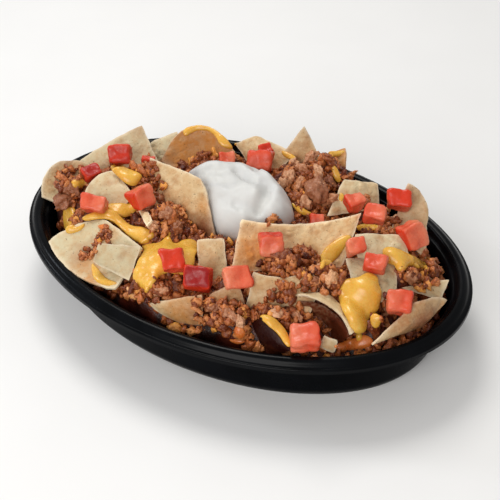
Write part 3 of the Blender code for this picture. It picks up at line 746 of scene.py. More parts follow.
# %% Tomato dice
# Each die: (x, y, height of the middle, side, turn, tip), in millimetres and degrees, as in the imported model,
# then how ripe it looks, from 0 for salmon flesh to 1 for deep red, and where its skin faces.
LEFT, RIGHT, UP, FRONT = -EYE_RIGHT, EYE_RIGHT, Vector((0, 0, 1)), -EYE_AHEAD
DICE = [
    (-82, 16, 53, 11.5, 25, 50, 0.7, FRONT), (-89, -2, 51, 9, 60, 20, 0.9, UP),
    (-70, -27, 55, 11.5, 10, 35, 0.3, LEFT), (-49, -16, 59, 12, 70, 60, 0.2, LEFT),
    (-64, 16, 54, 7, 20, 70, 0.8, LEFT), (-28, 37, 54, 9, 30, 40, 0.2, LEFT),
    (-11, 43, 54, 12.5, 15, 50, 0.6, UP), (-14, 54, 53, 7, 50, 30, 0.5, UP),
    (35, 14, 52, 8, 20, 40, 0.3, LEFT), (27, -21, 61, 12, 30, 62, 0.0, UP),
    (-12, -48, 57, 12, 35, 35, 0.6, FRONT), (3, -51, 54, 12, 20, 40, 1.0, FRONT),
    (21, -45, 57, 12, 40, 40, 0.1, RIGHT), (63, -4, 60, 9, 40, 30, 0.1, RIGHT),
    (75, -8, 57, 10.5, 10, 25, 0.5, LEFT), (50, 25, 61, 9.5, 50, 15, 0.2, LEFT),
    (63, 21, 61, 10, 10, 20, 0.35, LEFT), (69, 38, 60, 12, 20, 40, 0.5, FRONT),
    (83, 20, 56, 12.5, 60, 60, 0.0, LEFT), (94, -24, 54, 12.5, 20, 30, 0.4, RIGHT),
    (61, -56, 46, 12.5, 30, 15, 0.3, RIGHT),
]
DIE_CELLS = 14
DIE_ROUNDING = 0.42
DIE_SKEW, DIE_SAG = 0.06, 0.05  # as shares of its side


def die_corners(draw, side):
    """The eight uneven corners of a die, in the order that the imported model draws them."""
    shell = bmesh.new()
    bmesh.ops.create_cube(shell, size=side)
    stretch = Vector((draw.uniform(0.95, 1.15), draw.uniform(0.8, 1.0), draw.uniform(0.75, 0.95)))
    corners = {}
    for vertex in shell.verts:
        signs = tuple(1 if value > 0 else -1 for value in vertex.co)
        skew = Vector(draw.uniform(-1, 1) for _ in range(3)) * side * DIE_SKEW
        corners[signs] = vertex.co * stretch + skew
    shell.free()
    return corners


def make_die(name, x, y, z, side, turn, tip, ripe, skin_faces):
    corners = die_corners(random.Random(name), side)
    shell = bmesh.new()
    bmesh.ops.create_cube(shell, size=2.0)
    bmesh.ops.subdivide_edges(shell, edges=shell.edges[:], cuts=DIE_CELLS - 1, use_grid_fill=True)
    pose = Matrix.Translation((x, y, z)) @ Matrix.Rotation(math.radians(turn), 4, "Z")
    pose @= Matrix.Rotation(math.radians(tip), 4, "X")
    sides = [Vector(side) for side in ((1, 0, 0), (-1, 0, 0), (0, 1, 0), (0, -1, 0), (0, 0, 1), (0, 0, -1))]
    skin_side = max(sides, key=lambda local: (pose.to_3x3() @ local).dot(skin_faces))
    points, skin, core_share = [], [], []
    for vertex in shell.verts:
        grid = vertex.co
        core = Vector(max(-1 + DIE_ROUNDING, min(1 - DIE_ROUNDING, value)) for value in grid)
        place = core + (grid - core).normalized() * DIE_ROUNDING
        bent = Vector()
        for signs, corner in corners.items():
            share = 1.0
            for axis in range(3):
                share *= (1 + signs[axis] * place[axis]) / 2
            bent += corner * share
        facing = place.dot(skin_side)
        flat = sorted(abs(value) for value in grid)[1]
        sag = DIE_SAG * side * max(0.0, 1 - flat**2)
        wave = noise.noise(bent / 5.5 + Vector((x, y, z))) * 1.3
        wave += noise.noise(bent / 2.0 + Vector((z, y, x))) * 0.35
        bent += bent.normalized() * (wave - sag)
        points.append(pose @ bent)
        core_share.append(max(0.0, min(1.0, 0.2 - facing * 0.75)))
        skin.append(max(0.0, min(1.0, (facing - 0.82) / 0.12)))
    faces = [[vertex.index for vertex in face.verts] for face in shell.faces]
    shell.free()
    values = {"skin": skin, "core": core_share, "ripe": [ripe] * len(points)}
    return make_piece(name + "_cut", points, faces, tomato_flesh, [name], values)


dice = [make_die(f"tomato_{number:02d}", *shape) for number, shape in enumerate(DICE, 1)]
print(len(dice), "dice of tomato")

# %% [markdown]
# ## Sour cream
#
# A spoonful of sour cream holds soft peaks and folds where the spoon left it. It is drawn as rings round its
# middle: the outline is a smooth closed curve, and folds are ridges and dips that are added to a dome.

# %% Sour cream
def cream_finish():
    made, tree, place = start_finish(
        "cream_smooth",
        0.5,
        Specular_IOR_Level=0.3,
        Subsurface_Weight=0.3,
        Subsurface_Scale=0.006,
        Subsurface_Radius=(1.0, 0.95, 0.9),
    )
    cloud = cloudy(tree, place, 14, 2.0)
    grain = cloudy(tree, place, 1.0, 2.0)
    colour = mixed(tree, spread(tree, cloud, 0.35, 0.7), srgb(214, 214, 211), srgb(206, 206, 205))
    roughness = spread(tree, grain, 0.3, 0.7, 0.42, 0.58)
    return end_finish(made, colour, roughness, [(cloud, 0.8, 0.3), (grain, 0.06, 0.4)])


CREAM_MIDDLE = Vector((-3, 7))
CREAM_OUTLINE = [
    (-42, 19), (-25, 32), (-5, 34), (12, 26), (22, 15), (22, 3), (15, -5), (8, -10), (-3, -14), (-14, -9),
    (-28, 3),
]
CREAM_BASE, CREAM_LIP, CREAM_TOP = 43.0, 50.0, 64.0
CREAM_SIDES, CREAM_RINGS = 150, 56
# Folds and dips, each along a line in the frame: (across, down, across, down, half width, height added).
CREAM_FOLDS = [
    (236, 171, 252, 185, 2.0, -2.4), (244, 168, 259, 180, 2.4, 1.8), (262, 172, 268, 178, 3.4, 2.4),
    (254, 167, 257, 173, 1.6, -1.8), (269, 189, 258, 206, 2.8, -2.6), (257, 207, 236, 203, 3.2, -2.2),
    (276, 191, 286, 212, 4.0, 1.6), (246, 190, 256, 196, 5.0, 2.2), (207, 178, 211, 214, 3.6, 1.4),
    (198, 167, 228, 167, 3.6, 1.6), (222, 196, 228, 214, 3.0, -1.2), (238, 216, 268, 220, 3.4, 1.0),
    (204, 164, 240, 162, 4.0, 2.2), (266, 173, 281, 186, 4.0, 1.8),
]


def closed_curve(corners, count):
    """Points on a smooth closed curve through the corners, evenly spread over its spans."""
    points = []
    total = len(corners)
    for step in range(count):
        place = step * total / count
        span = int(place)
        t = place - span
        a, b, c, d = (Vector(corners[(span + shift) % total]) for shift in (-1, 0, 1, 2))
        bend = 2 * b + (c - a) * t + (2 * a - 5 * b + 4 * c - d) * t**2
        points.append(0.5 * (bend + (3 * b - a - 3 * c + d) * t**3))
    return points


def on_level(across, down, height):
    """Where the sight line through a place in the frame meets a level, in millimetres."""
    line = sight_line(across, down)
    return (EYE + line * ((height * MM - EYE.z) / line.z)).xy / MM


def fold_lines():
    """The folds as (start, end, half width, rise), with their ends on the level of the cream's top."""
    lines = []
    for across, down, end_across, end_down, width, rise in CREAM_FOLDS:
        ends = on_level(across, down, CREAM_TOP - 1), on_level(end_across, end_down, CREAM_TOP - 1)
        lines.append((*ends, width, rise))
    return lines


def cream_height(x, y, level, folds):
    height = CREAM_LIP + (CREAM_TOP - CREAM_LIP) * (1 - level**4) ** 0.65
    inner = 1 - level**5
    spot = Vector((x, y))
    for start, end, width, rise in folds:
        span = end - start
        share = max(0.0, min(1.0, (spot - start).dot(span) / span.length_squared))
        near = (spot - start - span * share).length / width
        height += rise * math.exp(-near * near) * inner
    place = Vector((x, y, 0))
    return height + (noise.noise(place / 8) * 1.2 + noise.noise(place / 3) * 0.3) * inner


def make_cream():
    rim = closed_curve(CREAM_OUTLINE, CREAM_SIDES)
    folds = fold_lines()
    points = []
    foot = [(level, False) for level in (0.15, 0.5, 0.8, 0.94, 1.0)]
    top = [(1 - (ring / CREAM_RINGS) ** 1.15, True) for ring in range(CREAM_RINGS)]
    for level, upper in foot + top:  # from the middle of the foot out to the rim, and back in over the top
        for corner in rim:
            wave = noise.noise(Vector((corner.x / 6, corner.y / 6, 3))) * 1.2 * level
            out = (corner - CREAM_MIDDLE) * level
            spot = CREAM_MIDDLE + out + out.normalized() * wave
            height = cream_height(spot.x, spot.y, level, folds) if upper else CREAM_BASE + 3 * level**4
            points.append((spot.x, spot.y, height))
    middle = (*CREAM_MIDDLE, CREAM_BASE), (*CREAM_MIDDLE, cream_height(*CREAM_MIDDLE, 0, folds))
    points, faces = closed_rings(points, CREAM_SIDES, *middle)
    return make_piece("cream_dollop", points, faces, cream_finish(), ["sour_cream"])


cream = make_cream()
print("cream", len(cream.data.polygons), "faces")

# %% [markdown]
# ## Seasoned beef
#
# Minced beef breaks into crumbs when it fries: lumps of a few millimetres, with a rough wet surface. A core
# with low relief fills the bowl. Crumbs in three sizes lie on it, each size in one piece. Geometry Nodes
# stands an uneven lump on each point, turns it, and stores a random tone for the finish to read.

# %% Beef finish
def beef_finish(name, dark, middle, light):
    made, tree, place = start_finish(name, 0.36, Specular_IOR_Level=0.5)
    cloud = cloudy(tree, place, 5, 2.0)
    grain = cloudy(tree, place, 1.4, 3.0, 0.65)
    fine = cloudy(tree, place, 0.5, 2.0)
    tone = painted(tree, "tone")
    # The grain noise also lifts the bump: the light colour on its tops is a painted highlight.
    sheen = product(tree, spread(tree, grain, 0.52, 0.75, 0.0, 0.7), spread(tree, tone, 0.0, 0.3))
    cheesy = product(tree, spread(tree, tone, 0.95, 0.97), spread(tree, cloud, 0.4, 0.6, 0.4, 1.0))
    layers = [
        (spread(tree, tone, 0.0, 0.6), middle),
        (spread(tree, tone, 0.55, 1.0, 0.0, 0.75), light),
        (sheen, light),
        # Painted shade: the dark colour in the dips of the grain bump.
        (spread(tree, grain, 0.48, 0.28, 0.0, 0.8), dark),
        (cheesy, srgb(240, 164, 66)),
        # Painted shade: a tone below zero turns the beef near black, as where the bowl wall shades the core.
        (spread(tree, tone, 0.02, -0.25), srgb(30, 9, 5)),
    ]
    roughness = spread(tree, cloud, 0.3, 0.7, 0.24, 0.48)
    return end_finish(made, layered(tree, dark, layers), roughness, [(grain, 0.9, 0.6), (fine, 0.25, 0.6)])


seasoned_beef = beef_finish("seasoned_beef", srgb(90, 30, 11), srgb(186, 100, 48), srgb(230, 154, 92))

# %% Beef core
BED_MOUNDS = [
    (18, 40, 20, 14), (27, 55, 10, 16), (-32, -17, 14, 11), (-18, -46, 12, 9), (-24, -61, 11, 9),
    (-72, -29, 13, 16), (-98, -14, 12, 27), (-84, 4, 12, 12), (-62, 8, 12, 8), (-64, 1, 10, 10),
    (-40, 38, 13, 7), (22, -58, 12, 10), (42, -50, 9, 10), (38, -29, 10, 13), (59, -25, 10, 16),
    (86, -1, 12, 19), (98, 15, 9, 20), (74, 26, 13, 11), (86, -30, 9, 14),
]
BED_FLOOR, BED_EDGE_END, BED_EDGE_SIDE, BED_CROWN = 1.9, 19.0, 34.0, 49.0
CORE_SIDES, CORE_RINGS, CORE_INSET = 220, 70, 14.4
BED_MARGIN = 10.0  # how far inside the outer oval the bed ends
CORE_FOOT = ((24.6, BED_FLOOR), (17.4, 6.0))  # (inset, height) of the rings under the core
CORE_SINK = 3.0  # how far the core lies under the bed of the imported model, to leave room for crumbs


def reach_out(x, y):
    """How far out a place lies, from 0 in the middle of the bed to 1 at its edge."""
    return math.hypot(x / (HALF_LENGTH - BED_MARGIN), y / (HALF_WIDTH - BED_MARGIN))


def mound_height(x, y):
    """The height of the bare bed of beef above the table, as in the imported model."""
    reach = min(1.0, reach_out(x, y))
    angle = math.atan2(y / HALF_WIDTH, x / HALF_LENGTH)
    edge = BED_EDGE_END + (BED_EDGE_SIDE - BED_EDGE_END) * math.sin(angle) ** 2
    height = edge + (BED_CROWN - edge) * (1 - reach**3)
    for mound_x, mound_y, radius, rise in BED_MOUNDS:
        near = math.hypot(x - mound_x, y - mound_y) / radius
        height += rise * math.exp(-1.4 * near * near)
    return height


def lumps(place, width):
    """Rounded lumps about this wide, from 0 in the cracks to 1 on top."""
    nearest, second = noise.voronoi(place / width)[0][:2]
    return min(1.0, (second - nearest) * 2.2)


def core_height(x, y):
    place = Vector((x, y, 0))
    height = mound_height(x, y) - CORE_SINK + noise.noise(place / 9) * 1.6
    height -= 4.0 * max(0.0, (reach_out(x, y) - 0.75) / 0.2) ** 1.5
    return height + lumps(place, 4.5) ** 0.5 * 1.7 + lumps(place + Vector((7, 3, 1)), 1.9) * 0.6


def make_core():
    points = [point for inset, height in CORE_FOOT for point in oval_ring(inset, height, CORE_SIDES)]
    for ring in range(CORE_RINGS):
        share = 1 - ring / CORE_RINGS
        for side in range(CORE_SIDES):
            x, y = oval_point(CORE_INSET, math.tau * side / CORE_SIDES)
            points.append((x * share, y * share, core_height(x * share, y * share)))
    points, faces = closed_rings(points, CORE_SIDES, (0, 0, BED_FLOOR), (0, 0, core_height(0, 0)))
    tone = []
    for x, y, z in points:
        # Painted shade: the core's tone falls below zero towards the bowl wall, where the rim shades it.
        painted_wall_shade = 2.0 * max(0.0, reach_out(x, y) - 0.75)
        tone.append(0.18 + 0.3 * noise.noise(Vector((x, y, z)) / 6) - painted_wall_shade)
    values = {"tone": tone}
    return make_piece("beef_core", points, faces, seasoned_beef, ["beef_bed"], values)


core = make_core()
print("core", len(core.data.polygons), "faces")

# %% Lumps to scatter
LUMP_KINDS = 10


def lump_mesh(name, subdivisions, seed, knobs, crease):
    """An uneven lump with a radius of about one, made of rounded knobs with creases between them."""
    shell = bmesh.new()
    bmesh.ops.create_icosphere(shell, subdivisions=subdivisions, radius=1.0)
    shift = Vector((seed * 3.1, seed * 1.7, seed * 2.3))
    draw = random.Random(seed)
    stretch = Vector((draw.uniform(1.0, 1.6), draw.uniform(0.75, 1.05), draw.uniform(0.55, 0.9)))
    for vertex in shell.verts:
        place = vertex.co.copy()
        nearest, second = noise.voronoi(place * knobs + shift)[0][:2]
        knob = min(1.0, (second - nearest) * 1.7) ** 0.7
        swell = 1 - crease + 0.55 * noise.noise(place * 1.4 + shift) + 0.16 * noise.noise(place * 3.4 - shift)
        swell += crease * knob + draw.uniform(-1, 1) * 0.5 / 2**subdivisions
        vertex.co = place * swell * stretch
    mesh = bpy.data.meshes.new(name)
    shell.to_mesh(mesh)
    shell.free()
    mesh.shade_smooth()
    return mesh


def lump_family(name, subdivisions, knobs, crease=0.3):
    """A hidden collection of uneven lumps, from which Geometry Nodes picks at random."""
    family = bpy.data.collections.new(name)
    bpy.context.scene.collection.children.link(family)
    for seed in range(LUMP_KINDS):
        mesh = lump_mesh(f"{name}_{seed}", subdivisions, seed + 1, knobs, crease)
        kind = bpy.data.objects.new(mesh.name, mesh)
        kind.hide_render = True
        family.objects.link(kind)
    return family


lumps_plain = lump_family("lumps_plain", 2, 1.3)
lumps_fine = lump_family("lumps_fine", 3, 1.9)
grains_plain = lump_family("grains_plain", 1, 0.9)

# %% Scatter tree
def start_growth(name, sockets):
    """A Geometry Nodes tree with these inputs beside its points. Gives the tree, inputs and points' sizes."""
    tree = bpy.data.node_groups.new(name, "GeometryNodeTree")
    for key, kind in {"Geometry": "Geometry", **sockets, "Finish": "Material"}.items():
        tree.interface.new_socket(key, in_out="INPUT", socket_type="NodeSocket" + kind)
    tree.interface.new_socket("Geometry", in_out="OUTPUT", socket_type="NodeSocketGeometry")
    size = add_node(tree, "GeometryNodeInputNamedAttribute", {"Name": "size"}, data_type="FLOAT").outputs[0]
    return tree, tree.nodes.new("NodeGroupInput").outputs, size


def end_growth(tree, grown_parts, finish):
    """Makes the instances real, gives them their finish and sends them out."""
    real = add_node(tree, "GeometryNodeRealizeInstances", {"Geometry": grown_parts})
    done = add_node(tree, "GeometryNodeSetMaterial", {"Geometry": real.outputs[0], "Material": finish})
    tree.links.new(done.outputs[0], tree.nodes.new("NodeGroupOutput").inputs[0])
    return tree


def scatter_tree():
    """Stands a random lump on each point of a mesh, sized by the point's "size" and with a random tone."""
    tree, given, size = start_growth("scatter_lumps", {"Lumps": "Collection", "Seed": "Int"})
    family = {"Collection": given["Lumps"], "Separate Children": True, "Reset Children": True}
    family = add_node(tree, "GeometryNodeCollectionInfo", family)
    turn = add_node(
        tree,
        "FunctionNodeRandomValue",
        {"Seed": given["Seed"], "Max": (math.tau, math.tau, math.tau)},
        data_type="FLOAT_VECTOR",
    )
    placed = add_node(
        tree,
        "GeometryNodeInstanceOnPoints",
        {
            "Points": given["Geometry"],
            "Instance": family.outputs[0],
            "Pick Instance": True,
            "Rotation": turn.outputs["Value"],
            "Scale": size,
        },
    )
    later = add_node(tree, "ShaderNodeMath", {0: given["Seed"], 1: 7.0}, operation="ADD").outputs[0]
    tone = add_node(tree, "FunctionNodeRandomValue", {"Seed": later}, data_type="FLOAT").outputs[1]
    kept = add_node(
        tree,
        "GeometryNodeStoreNamedAttribute",
        {"Geometry": placed.outputs[0], "Name": "tone", "Value": tone},
        data_type="FLOAT",
        domain="INSTANCE",
    )
    return end_growth(tree, kept.outputs[0], given["Finish"])


SCATTER = scatter_tree()


def grown(name, points, sizes, tree, settings):
    """The mesh that a Geometry Nodes tree makes from points in millimetres that each have a size."""
    mesh = bpy.data.meshes.new(name + "_points")
    mesh.from_pydata((np.asarray(points, float) * MM).tolist(), [], [])
    layer = mesh.attributes.new("size", "FLOAT", "POINT")
    layer.data.foreach_set("value", np.asarray(sizes, np.float32) * MM)
    seeds = bpy.data.objects.new(name + "_points", mesh)
    bpy.context.scene.collection.objects.link(seeds)
    step = seeds.modifiers.new("grow", "NODES")
    step.node_group = tree
    sockets = {item.name: item.identifier for item in tree.interface.items_tree if item.in_out == "INPUT"}
    for key, value in settings.items():
        step[sockets[key]] = value
    graph = bpy.context.evaluated_depsgraph_get()
    made = bpy.data.meshes.new_from_object(seeds.evaluated_get(graph))
    bpy.data.objects.remove(seeds)
    made.name = name
    return made


def scatter(name, spots, family, seed, replaces=(), finish=seasoned_beef):
    """One piece of lumps of beef that stand on spots: (x, y, z, size)."""
    places, sizes = [spot[:3] for spot in spots], [spot[3] for spot in spots]
    mesh = grown(name, places, sizes, SCATTER, {"Lumps": family, "Seed": seed, "Finish": finish})
    print(name, len(spots), "lumps,", len(mesh.polygons), "faces")
    return finish_piece(name, mesh, finish, replaces)


# %% Crumbs on the core
WALL_MARGIN = 15.0  # how far inside the outer oval crumbs lie
HIGH_ABOVE = 120.0  # where the rays that look down start
SNUG = 1.05  # a crumb may be this much larger than the room round it


def open_spots(draw, count, sizes, spacing, sink, clear, ground, hidden_share):
    """Spots on the ground that keep apart, and that shrink or give way near the pieces to keep clear of."""
    spots = []
    cells = {}
    cell = sizes[1] * spacing
    for _ in range(count):
        share, angle = math.sqrt(draw.random()), draw.uniform(0, math.tau)
        x = (HALF_LENGTH - WALL_MARGIN) * share * math.cos(angle)
        y = (HALF_WIDTH - WALL_MARGIN) * share * math.sin(angle)
        size = draw.uniform(*sizes)
        hit, normal = ground.ray_cast(Vector((x, y, HIGH_ABOVE)) * MM, Vector((0, 0, -1)))[:2]
        if hit is None:
            continue
        place = hit / MM + normal * size * sink
        above = clear.ray_cast(place * MM, Vector((0, 0, 1)))[0]
        if above is not None and draw.random() > hidden_share:
            continue
        room = clear.find_nearest(place * MM)[3] / MM
        size = min(size, room * SNUG)
        if size < sizes[0] * 0.7:
            continue
        key = (int(x // cell), int(y // cell))
        around = [(key[0] + i, key[1] + j) for i in (-1, 0, 1) for j in (-1, 0, 1)]
        near = [spot for cell_key in around for spot in cells.get(cell_key, ())]
        if any((Vector(spot[:3]) - place).length < spacing * (spot[3] + size) / 2 for spot in near):
            continue
        spot = (*place, size)
        cells.setdefault(key, []).append(spot)
        spots.append(spot)
    return spots


draw = random.Random(23)
keep_clear = tree_of([*chips, *dice, cream, bowl])
core_tree = tree_of([core])
lump_spots = open_spots(draw, 3200, (2.6, 4.8), 1.35, 0.25, keep_clear, core_tree, 0.5)
crumb_spots = open_spots(draw, 9000, (1.6, 3.0), 1.4, 0.35, keep_clear, core_tree, 0.4)
beef_lumps = scatter("beef_lumps", lump_spots, lumps_fine, 3)
beef_crumbs = scatter("beef_crumbs", crumb_spots, lumps_plain, 5)
heap_tree = tree_of([core, beef_lumps, beef_crumbs])
grain_spots = open_spots(draw, 4000, (0.5, 1.2), 1.6, 0.2, keep_clear, heap_tree, 0.1)
beef_grains = scatter("beef_grains", grain_spots, grains_plain, 9)

# %% [markdown]
# ## Beef on top of the chips
#
# Some beef has rolled onto the chips, and a few lumps are much larger than the rest. They are placed by
# where the eye sees them: a ray goes from the eye through a place in the frame and stops on the food, so
# that each crumb lies on what carries it.

# %% Areas seen by the eye
EDGE_PIXELS = 6  # how far in from an outline its edge reaches, in pixels of the frame
TRIES_A_SPOT = 60


def inside_area(corners, across, down):
    """Whether places in the frame lie inside a closed outline."""
    inside = np.zeros(across.shape, bool)
    for (x0, y0), (x1, y1) in zip(corners, corners[1:] + corners[:1]):
        crosses = (y0 > down) != (y1 > down)
        with np.errstate(divide="ignore", invalid="ignore"):
            edge = (x1 - x0) * (down - y0) / (y1 - y0) + x0
        inside ^= crosses & (across < edge)
    return inside


def edge_distance(corners, across, down):
    """How far places in the frame lie from an outline, in pixels."""
    nearest = np.full(across.shape, 1e9)
    for (x0, y0), (x1, y1) in zip(corners, corners[1:] + corners[:1]):
        span = max((x1 - x0) ** 2 + (y1 - y0) ** 2, 1e-9)
        share = np.clip(((across - x0) * (x1 - x0) + (down - y0) * (y1 - y0)) / span, 0, 1)
        away = np.hypot(across - x0 - share * (x1 - x0), down - y0 - share * (y1 - y0))
        nearest = np.minimum(nearest, away)
    return nearest


def seen_spots(draw, outline, count, sizes, ground, rise):
    """Random spots on the food inside an outline in the frame, heaped higher in its middle."""
    corners = [tuple(point) for point in closed_curve(outline, 4 * len(outline))]
    across, down = zip(*corners)
    spots = []
    for _ in range(TRIES_A_SPOT * count):
        if len(spots) == count:
            break
        x, y = draw.uniform(min(across), max(across)), draw.uniform(min(down), max(down))
        if not inside_area(corners, np.array(x), np.array(y)):
            continue
        hit, normal = ground.ray_cast(EYE, sight_line(x, y))[:2]
        size = draw.uniform(*sizes)
        depth = min(1.0, float(edge_distance(corners, np.array(x), np.array(y))) / EDGE_PIXELS)
        if hit is not None:
            place = hit / MM + normal * size * 0.3 + Vector((0, 0, depth * rise * draw.random()))
            spots.append((*place, size))
    return spots


# %% Beef spills
BEEF_ON_LEFT_CHIP = [
    (100, 229), (109, 227), (111, 243), (101, 244), (97, 251), (94, 257), (82, 260), (81, 251), (90, 246),
    (97, 239),
]
BEEF_ON_FRONT_CHIP = [
    (260, 263), (268, 260), (275, 257), (286, 253), (296, 249), (305, 250), (313, 253), (320, 260),
    (311, 266), (299, 272), (289, 276), (280, 275), (271, 272), (264, 269),
]
# Places of the loose crumbs: (outline in the frame, how densely they lie, how high they heap).
BEEF_SPILLS = [
    ([(270, 289), (280, 283), (290, 283), (298, 292), (293, 300), (282, 301), (262, 300)], 46, 1.5),
    ([(294, 281), (305, 271), (321, 266), (335, 268), (341, 278), (342, 292), (318, 294),
     (298, 290)], 90, 2.0),
    ([(250, 305), (268, 305), (284, 309), (300, 305), (309, 316), (299, 327), (284, 320),
     (262, 315)], 80, 1.5),
    ([(203, 298), (213, 300), (230, 300), (242, 304), (245, 317), (232, 323), (217, 325),
     (205, 318)], 90, 1.5),
    ([(122, 290), (132, 286), (144, 288), (156, 281), (168, 285), (172, 296), (158, 303),
     (140, 300)], 70, 1.5),
    ([(55, 176), (68, 168), (82, 168), (92, 174), (84, 184), (70, 190), (60, 186)], 50, 1.0),
    ([(146, 150), (156, 160), (160, 176), (166, 190), (152, 192), (142, 186), (143, 168)], 60, 1.0),
    ([(426, 247), (436, 246), (442, 262), (442, 276), (430, 272), (424, 262)], 40, 1.5),
    ([(400, 272), (412, 270), (424, 272), (436, 278), (438, 287), (424, 290), (408, 286)], 55, 1.5),
    ([(267, 217), (272, 214), (278, 219), (279, 225), (267, 224)], 26, 1.0),
    ([(194, 299), (201, 296), (207, 304), (205, 317), (198, 323), (193, 318)], 30, 1.2),
    ([(381, 206), (388, 205), (396, 213), (398, 226), (390, 234), (383, 226)], 40, 2.5),
    ([(343, 174), (347, 171), (352, 175), (350, 179), (344, 179)], 12, 1.0),
    ([(359, 201), (365, 199), (372, 202), (370, 206), (361, 205)], 12, 0.6),
    ([(377, 300), (388, 296), (396, 304), (394, 318), (382, 324), (376, 314)], 40, 1.2),
]
SPILL_SHARE = 0.6  # crumbs for each unit of density
CRUMB_RANGE = (1.1, 2.8)
draw = random.Random(41)
seen_ground = tree_of([*chips, cream, core, beef_lumps, beef_crumbs])
left_spots = seen_spots(draw, BEEF_ON_LEFT_CHIP, 80, (0.7, 1.6), seen_ground, 1.5)
front_spots = seen_spots(draw, BEEF_ON_FRONT_CHIP, 150, CRUMB_RANGE, seen_ground, 4.0)
spill_spots = []
for outline, density, rise in BEEF_SPILLS:
    spill_spots += seen_spots(draw, outline, round(density * SPILL_SHARE), CRUMB_RANGE, seen_ground, rise)
scatter("beef_on_left_chip_crumbs", left_spots, lumps_plain, 11, ["beef_on_left_chip"])
scatter("beef_on_front_chip_crumbs", front_spots, lumps_plain, 12, ["beef_on_front_chip"])
beef_spills = scatter("beef_spills", spill_spots, lumps_plain, 13)

# %% Large lumps of beef
# (across, down, size): a place in the frame, and the radius of the lump in millimetres.
LARGE_LUMPS = [
    (316, 193, 8.2), (327, 203, 6.0), (305, 205, 5.5), (299, 186, 5.0), (289, 176, 4.6), (283, 184, 3.6),
    (303, 170, 4.6), (318, 172, 4.4), (330, 182, 4.2), (310, 158, 4.4), (294, 164, 3.8), (64, 199, 6.4),
    (71, 189, 4.6), (162, 199, 4.6), (168, 214, 4.2), (154, 226, 3.8), (178, 228, 3.8), (146, 233, 3.2),
    (159, 291, 4.2), (134, 293, 3.6), (212, 306, 3.8), (228, 312, 3.6), (240, 322, 4.4), (316, 283, 4.6),
    (331, 280, 4.2), (326, 268, 3.6), (262, 309, 3.8), (276, 312, 3.4), (296, 316, 3.8), (412, 278, 4.0),
    (427, 281, 3.6), (386, 312, 3.6), (386, 211, 4.0), (391, 222, 4.2), (388, 231, 3.4), (344, 262, 3.2),
]
LUMP_LIFT, LUMP_SCALE = 0.15, 0.85
lumps_large = lump_family("lumps_large", 4, 1.7, 0.16)
large_spots = []
for across, down, size in LARGE_LUMPS:
    hit = seen_ground.ray_cast(EYE, sight_line(across, down))[0]
    if hit is None:
        print("no food there for a lump:", across, down)
        continue
    large_spots.append((*(hit / MM - EYE_AHEAD * size * LUMP_LIFT), size * LUMP_SCALE))
browned_beef = beef_finish("browned_beef", srgb(134, 72, 42), srgb(198, 136, 96), srgb(230, 180, 140))
beef_large = scatter("beef_large_lumps", large_spots, lumps_large, 17, (), browned_beef)

# %% [markdown]
# ## Cheese sauce
#
# The sauce is thick: it lies over chips and beef in glossy pools, bridges small gaps and runs down in drips.
# Each pool is an outline in the frame. Rays find the food under it, their depths are averaged so that the
# sauce bridges the crumbs, and a ball stands at each place. Geometry Nodes turns the balls into one skin.

# %% Sauce finish
def sauce_finish(name, deep, plain, light):
    made, tree, place = start_finish(
        name, 0.28, Specular_IOR_Level=0.6, Subsurface_Weight=0.1, Subsurface_Scale=0.003
    )
    cloud = cloudy(tree, place, 7, 2.0)
    grain = cloudy(tree, place, 1.2, 2.0)
    layers = [(spread(tree, cloud, 0.35, 0.65), deep), (spread(tree, grain, 0.55, 0.8, 0.0, 0.5), light)]
    roughness = spread(tree, grain, 0.3, 0.7, 0.2, 0.36)
    return end_finish(made, layered(tree, plain, layers), roughness, [(cloud, 0.5, 0.3), (grain, 0.08, 0.4)])


cheese_glossy = sauce_finish("cheese_glossy", srgb(224, 166, 60), srgb(232, 180, 72), srgb(240, 196, 94))
orange_glossy = sauce_finish("orange_glossy", srgb(206, 106, 44), srgb(222, 130, 62), srgb(232, 156, 84))


# %% Sauce tree
def sauce_tree():
    """Wraps one skin round balls that stand on the points of a mesh, sized by the point's "size"."""
    tree, given, size = start_growth("sauce_skin", {"Cell": "Float"})
    dots = add_node(tree, "GeometryNodeMeshToPoints", {"Mesh": given["Geometry"], "Radius": size})
    balls = {"Points": dots.outputs[0], "Voxel Size": given["Cell"], "Radius": size}
    fog = add_node(tree, "GeometryNodePointsToVolume", balls, resolution_mode="VOXEL_SIZE")
    walls = {"Volume": fog.outputs[0], "Voxel Size": given["Cell"]}
    skin = add_node(tree, "GeometryNodeVolumeToMesh", walls, resolution_mode="VOXEL_SIZE")
    return end_growth(tree, skin.outputs[0], given["Finish"])


SAUCE = sauce_tree()
SAUCE_CELL = 0.42
BALL_STEP = 0.8  # pixels of the frame between the balls of a pool
LARGEST_STEP = 7.0  # how far apart in depth two balls may be and still be averaged
BALL_LIFT = 0.2  # how far a ball's middle lies above the food, as a share of its size
SMOOTHING = 10

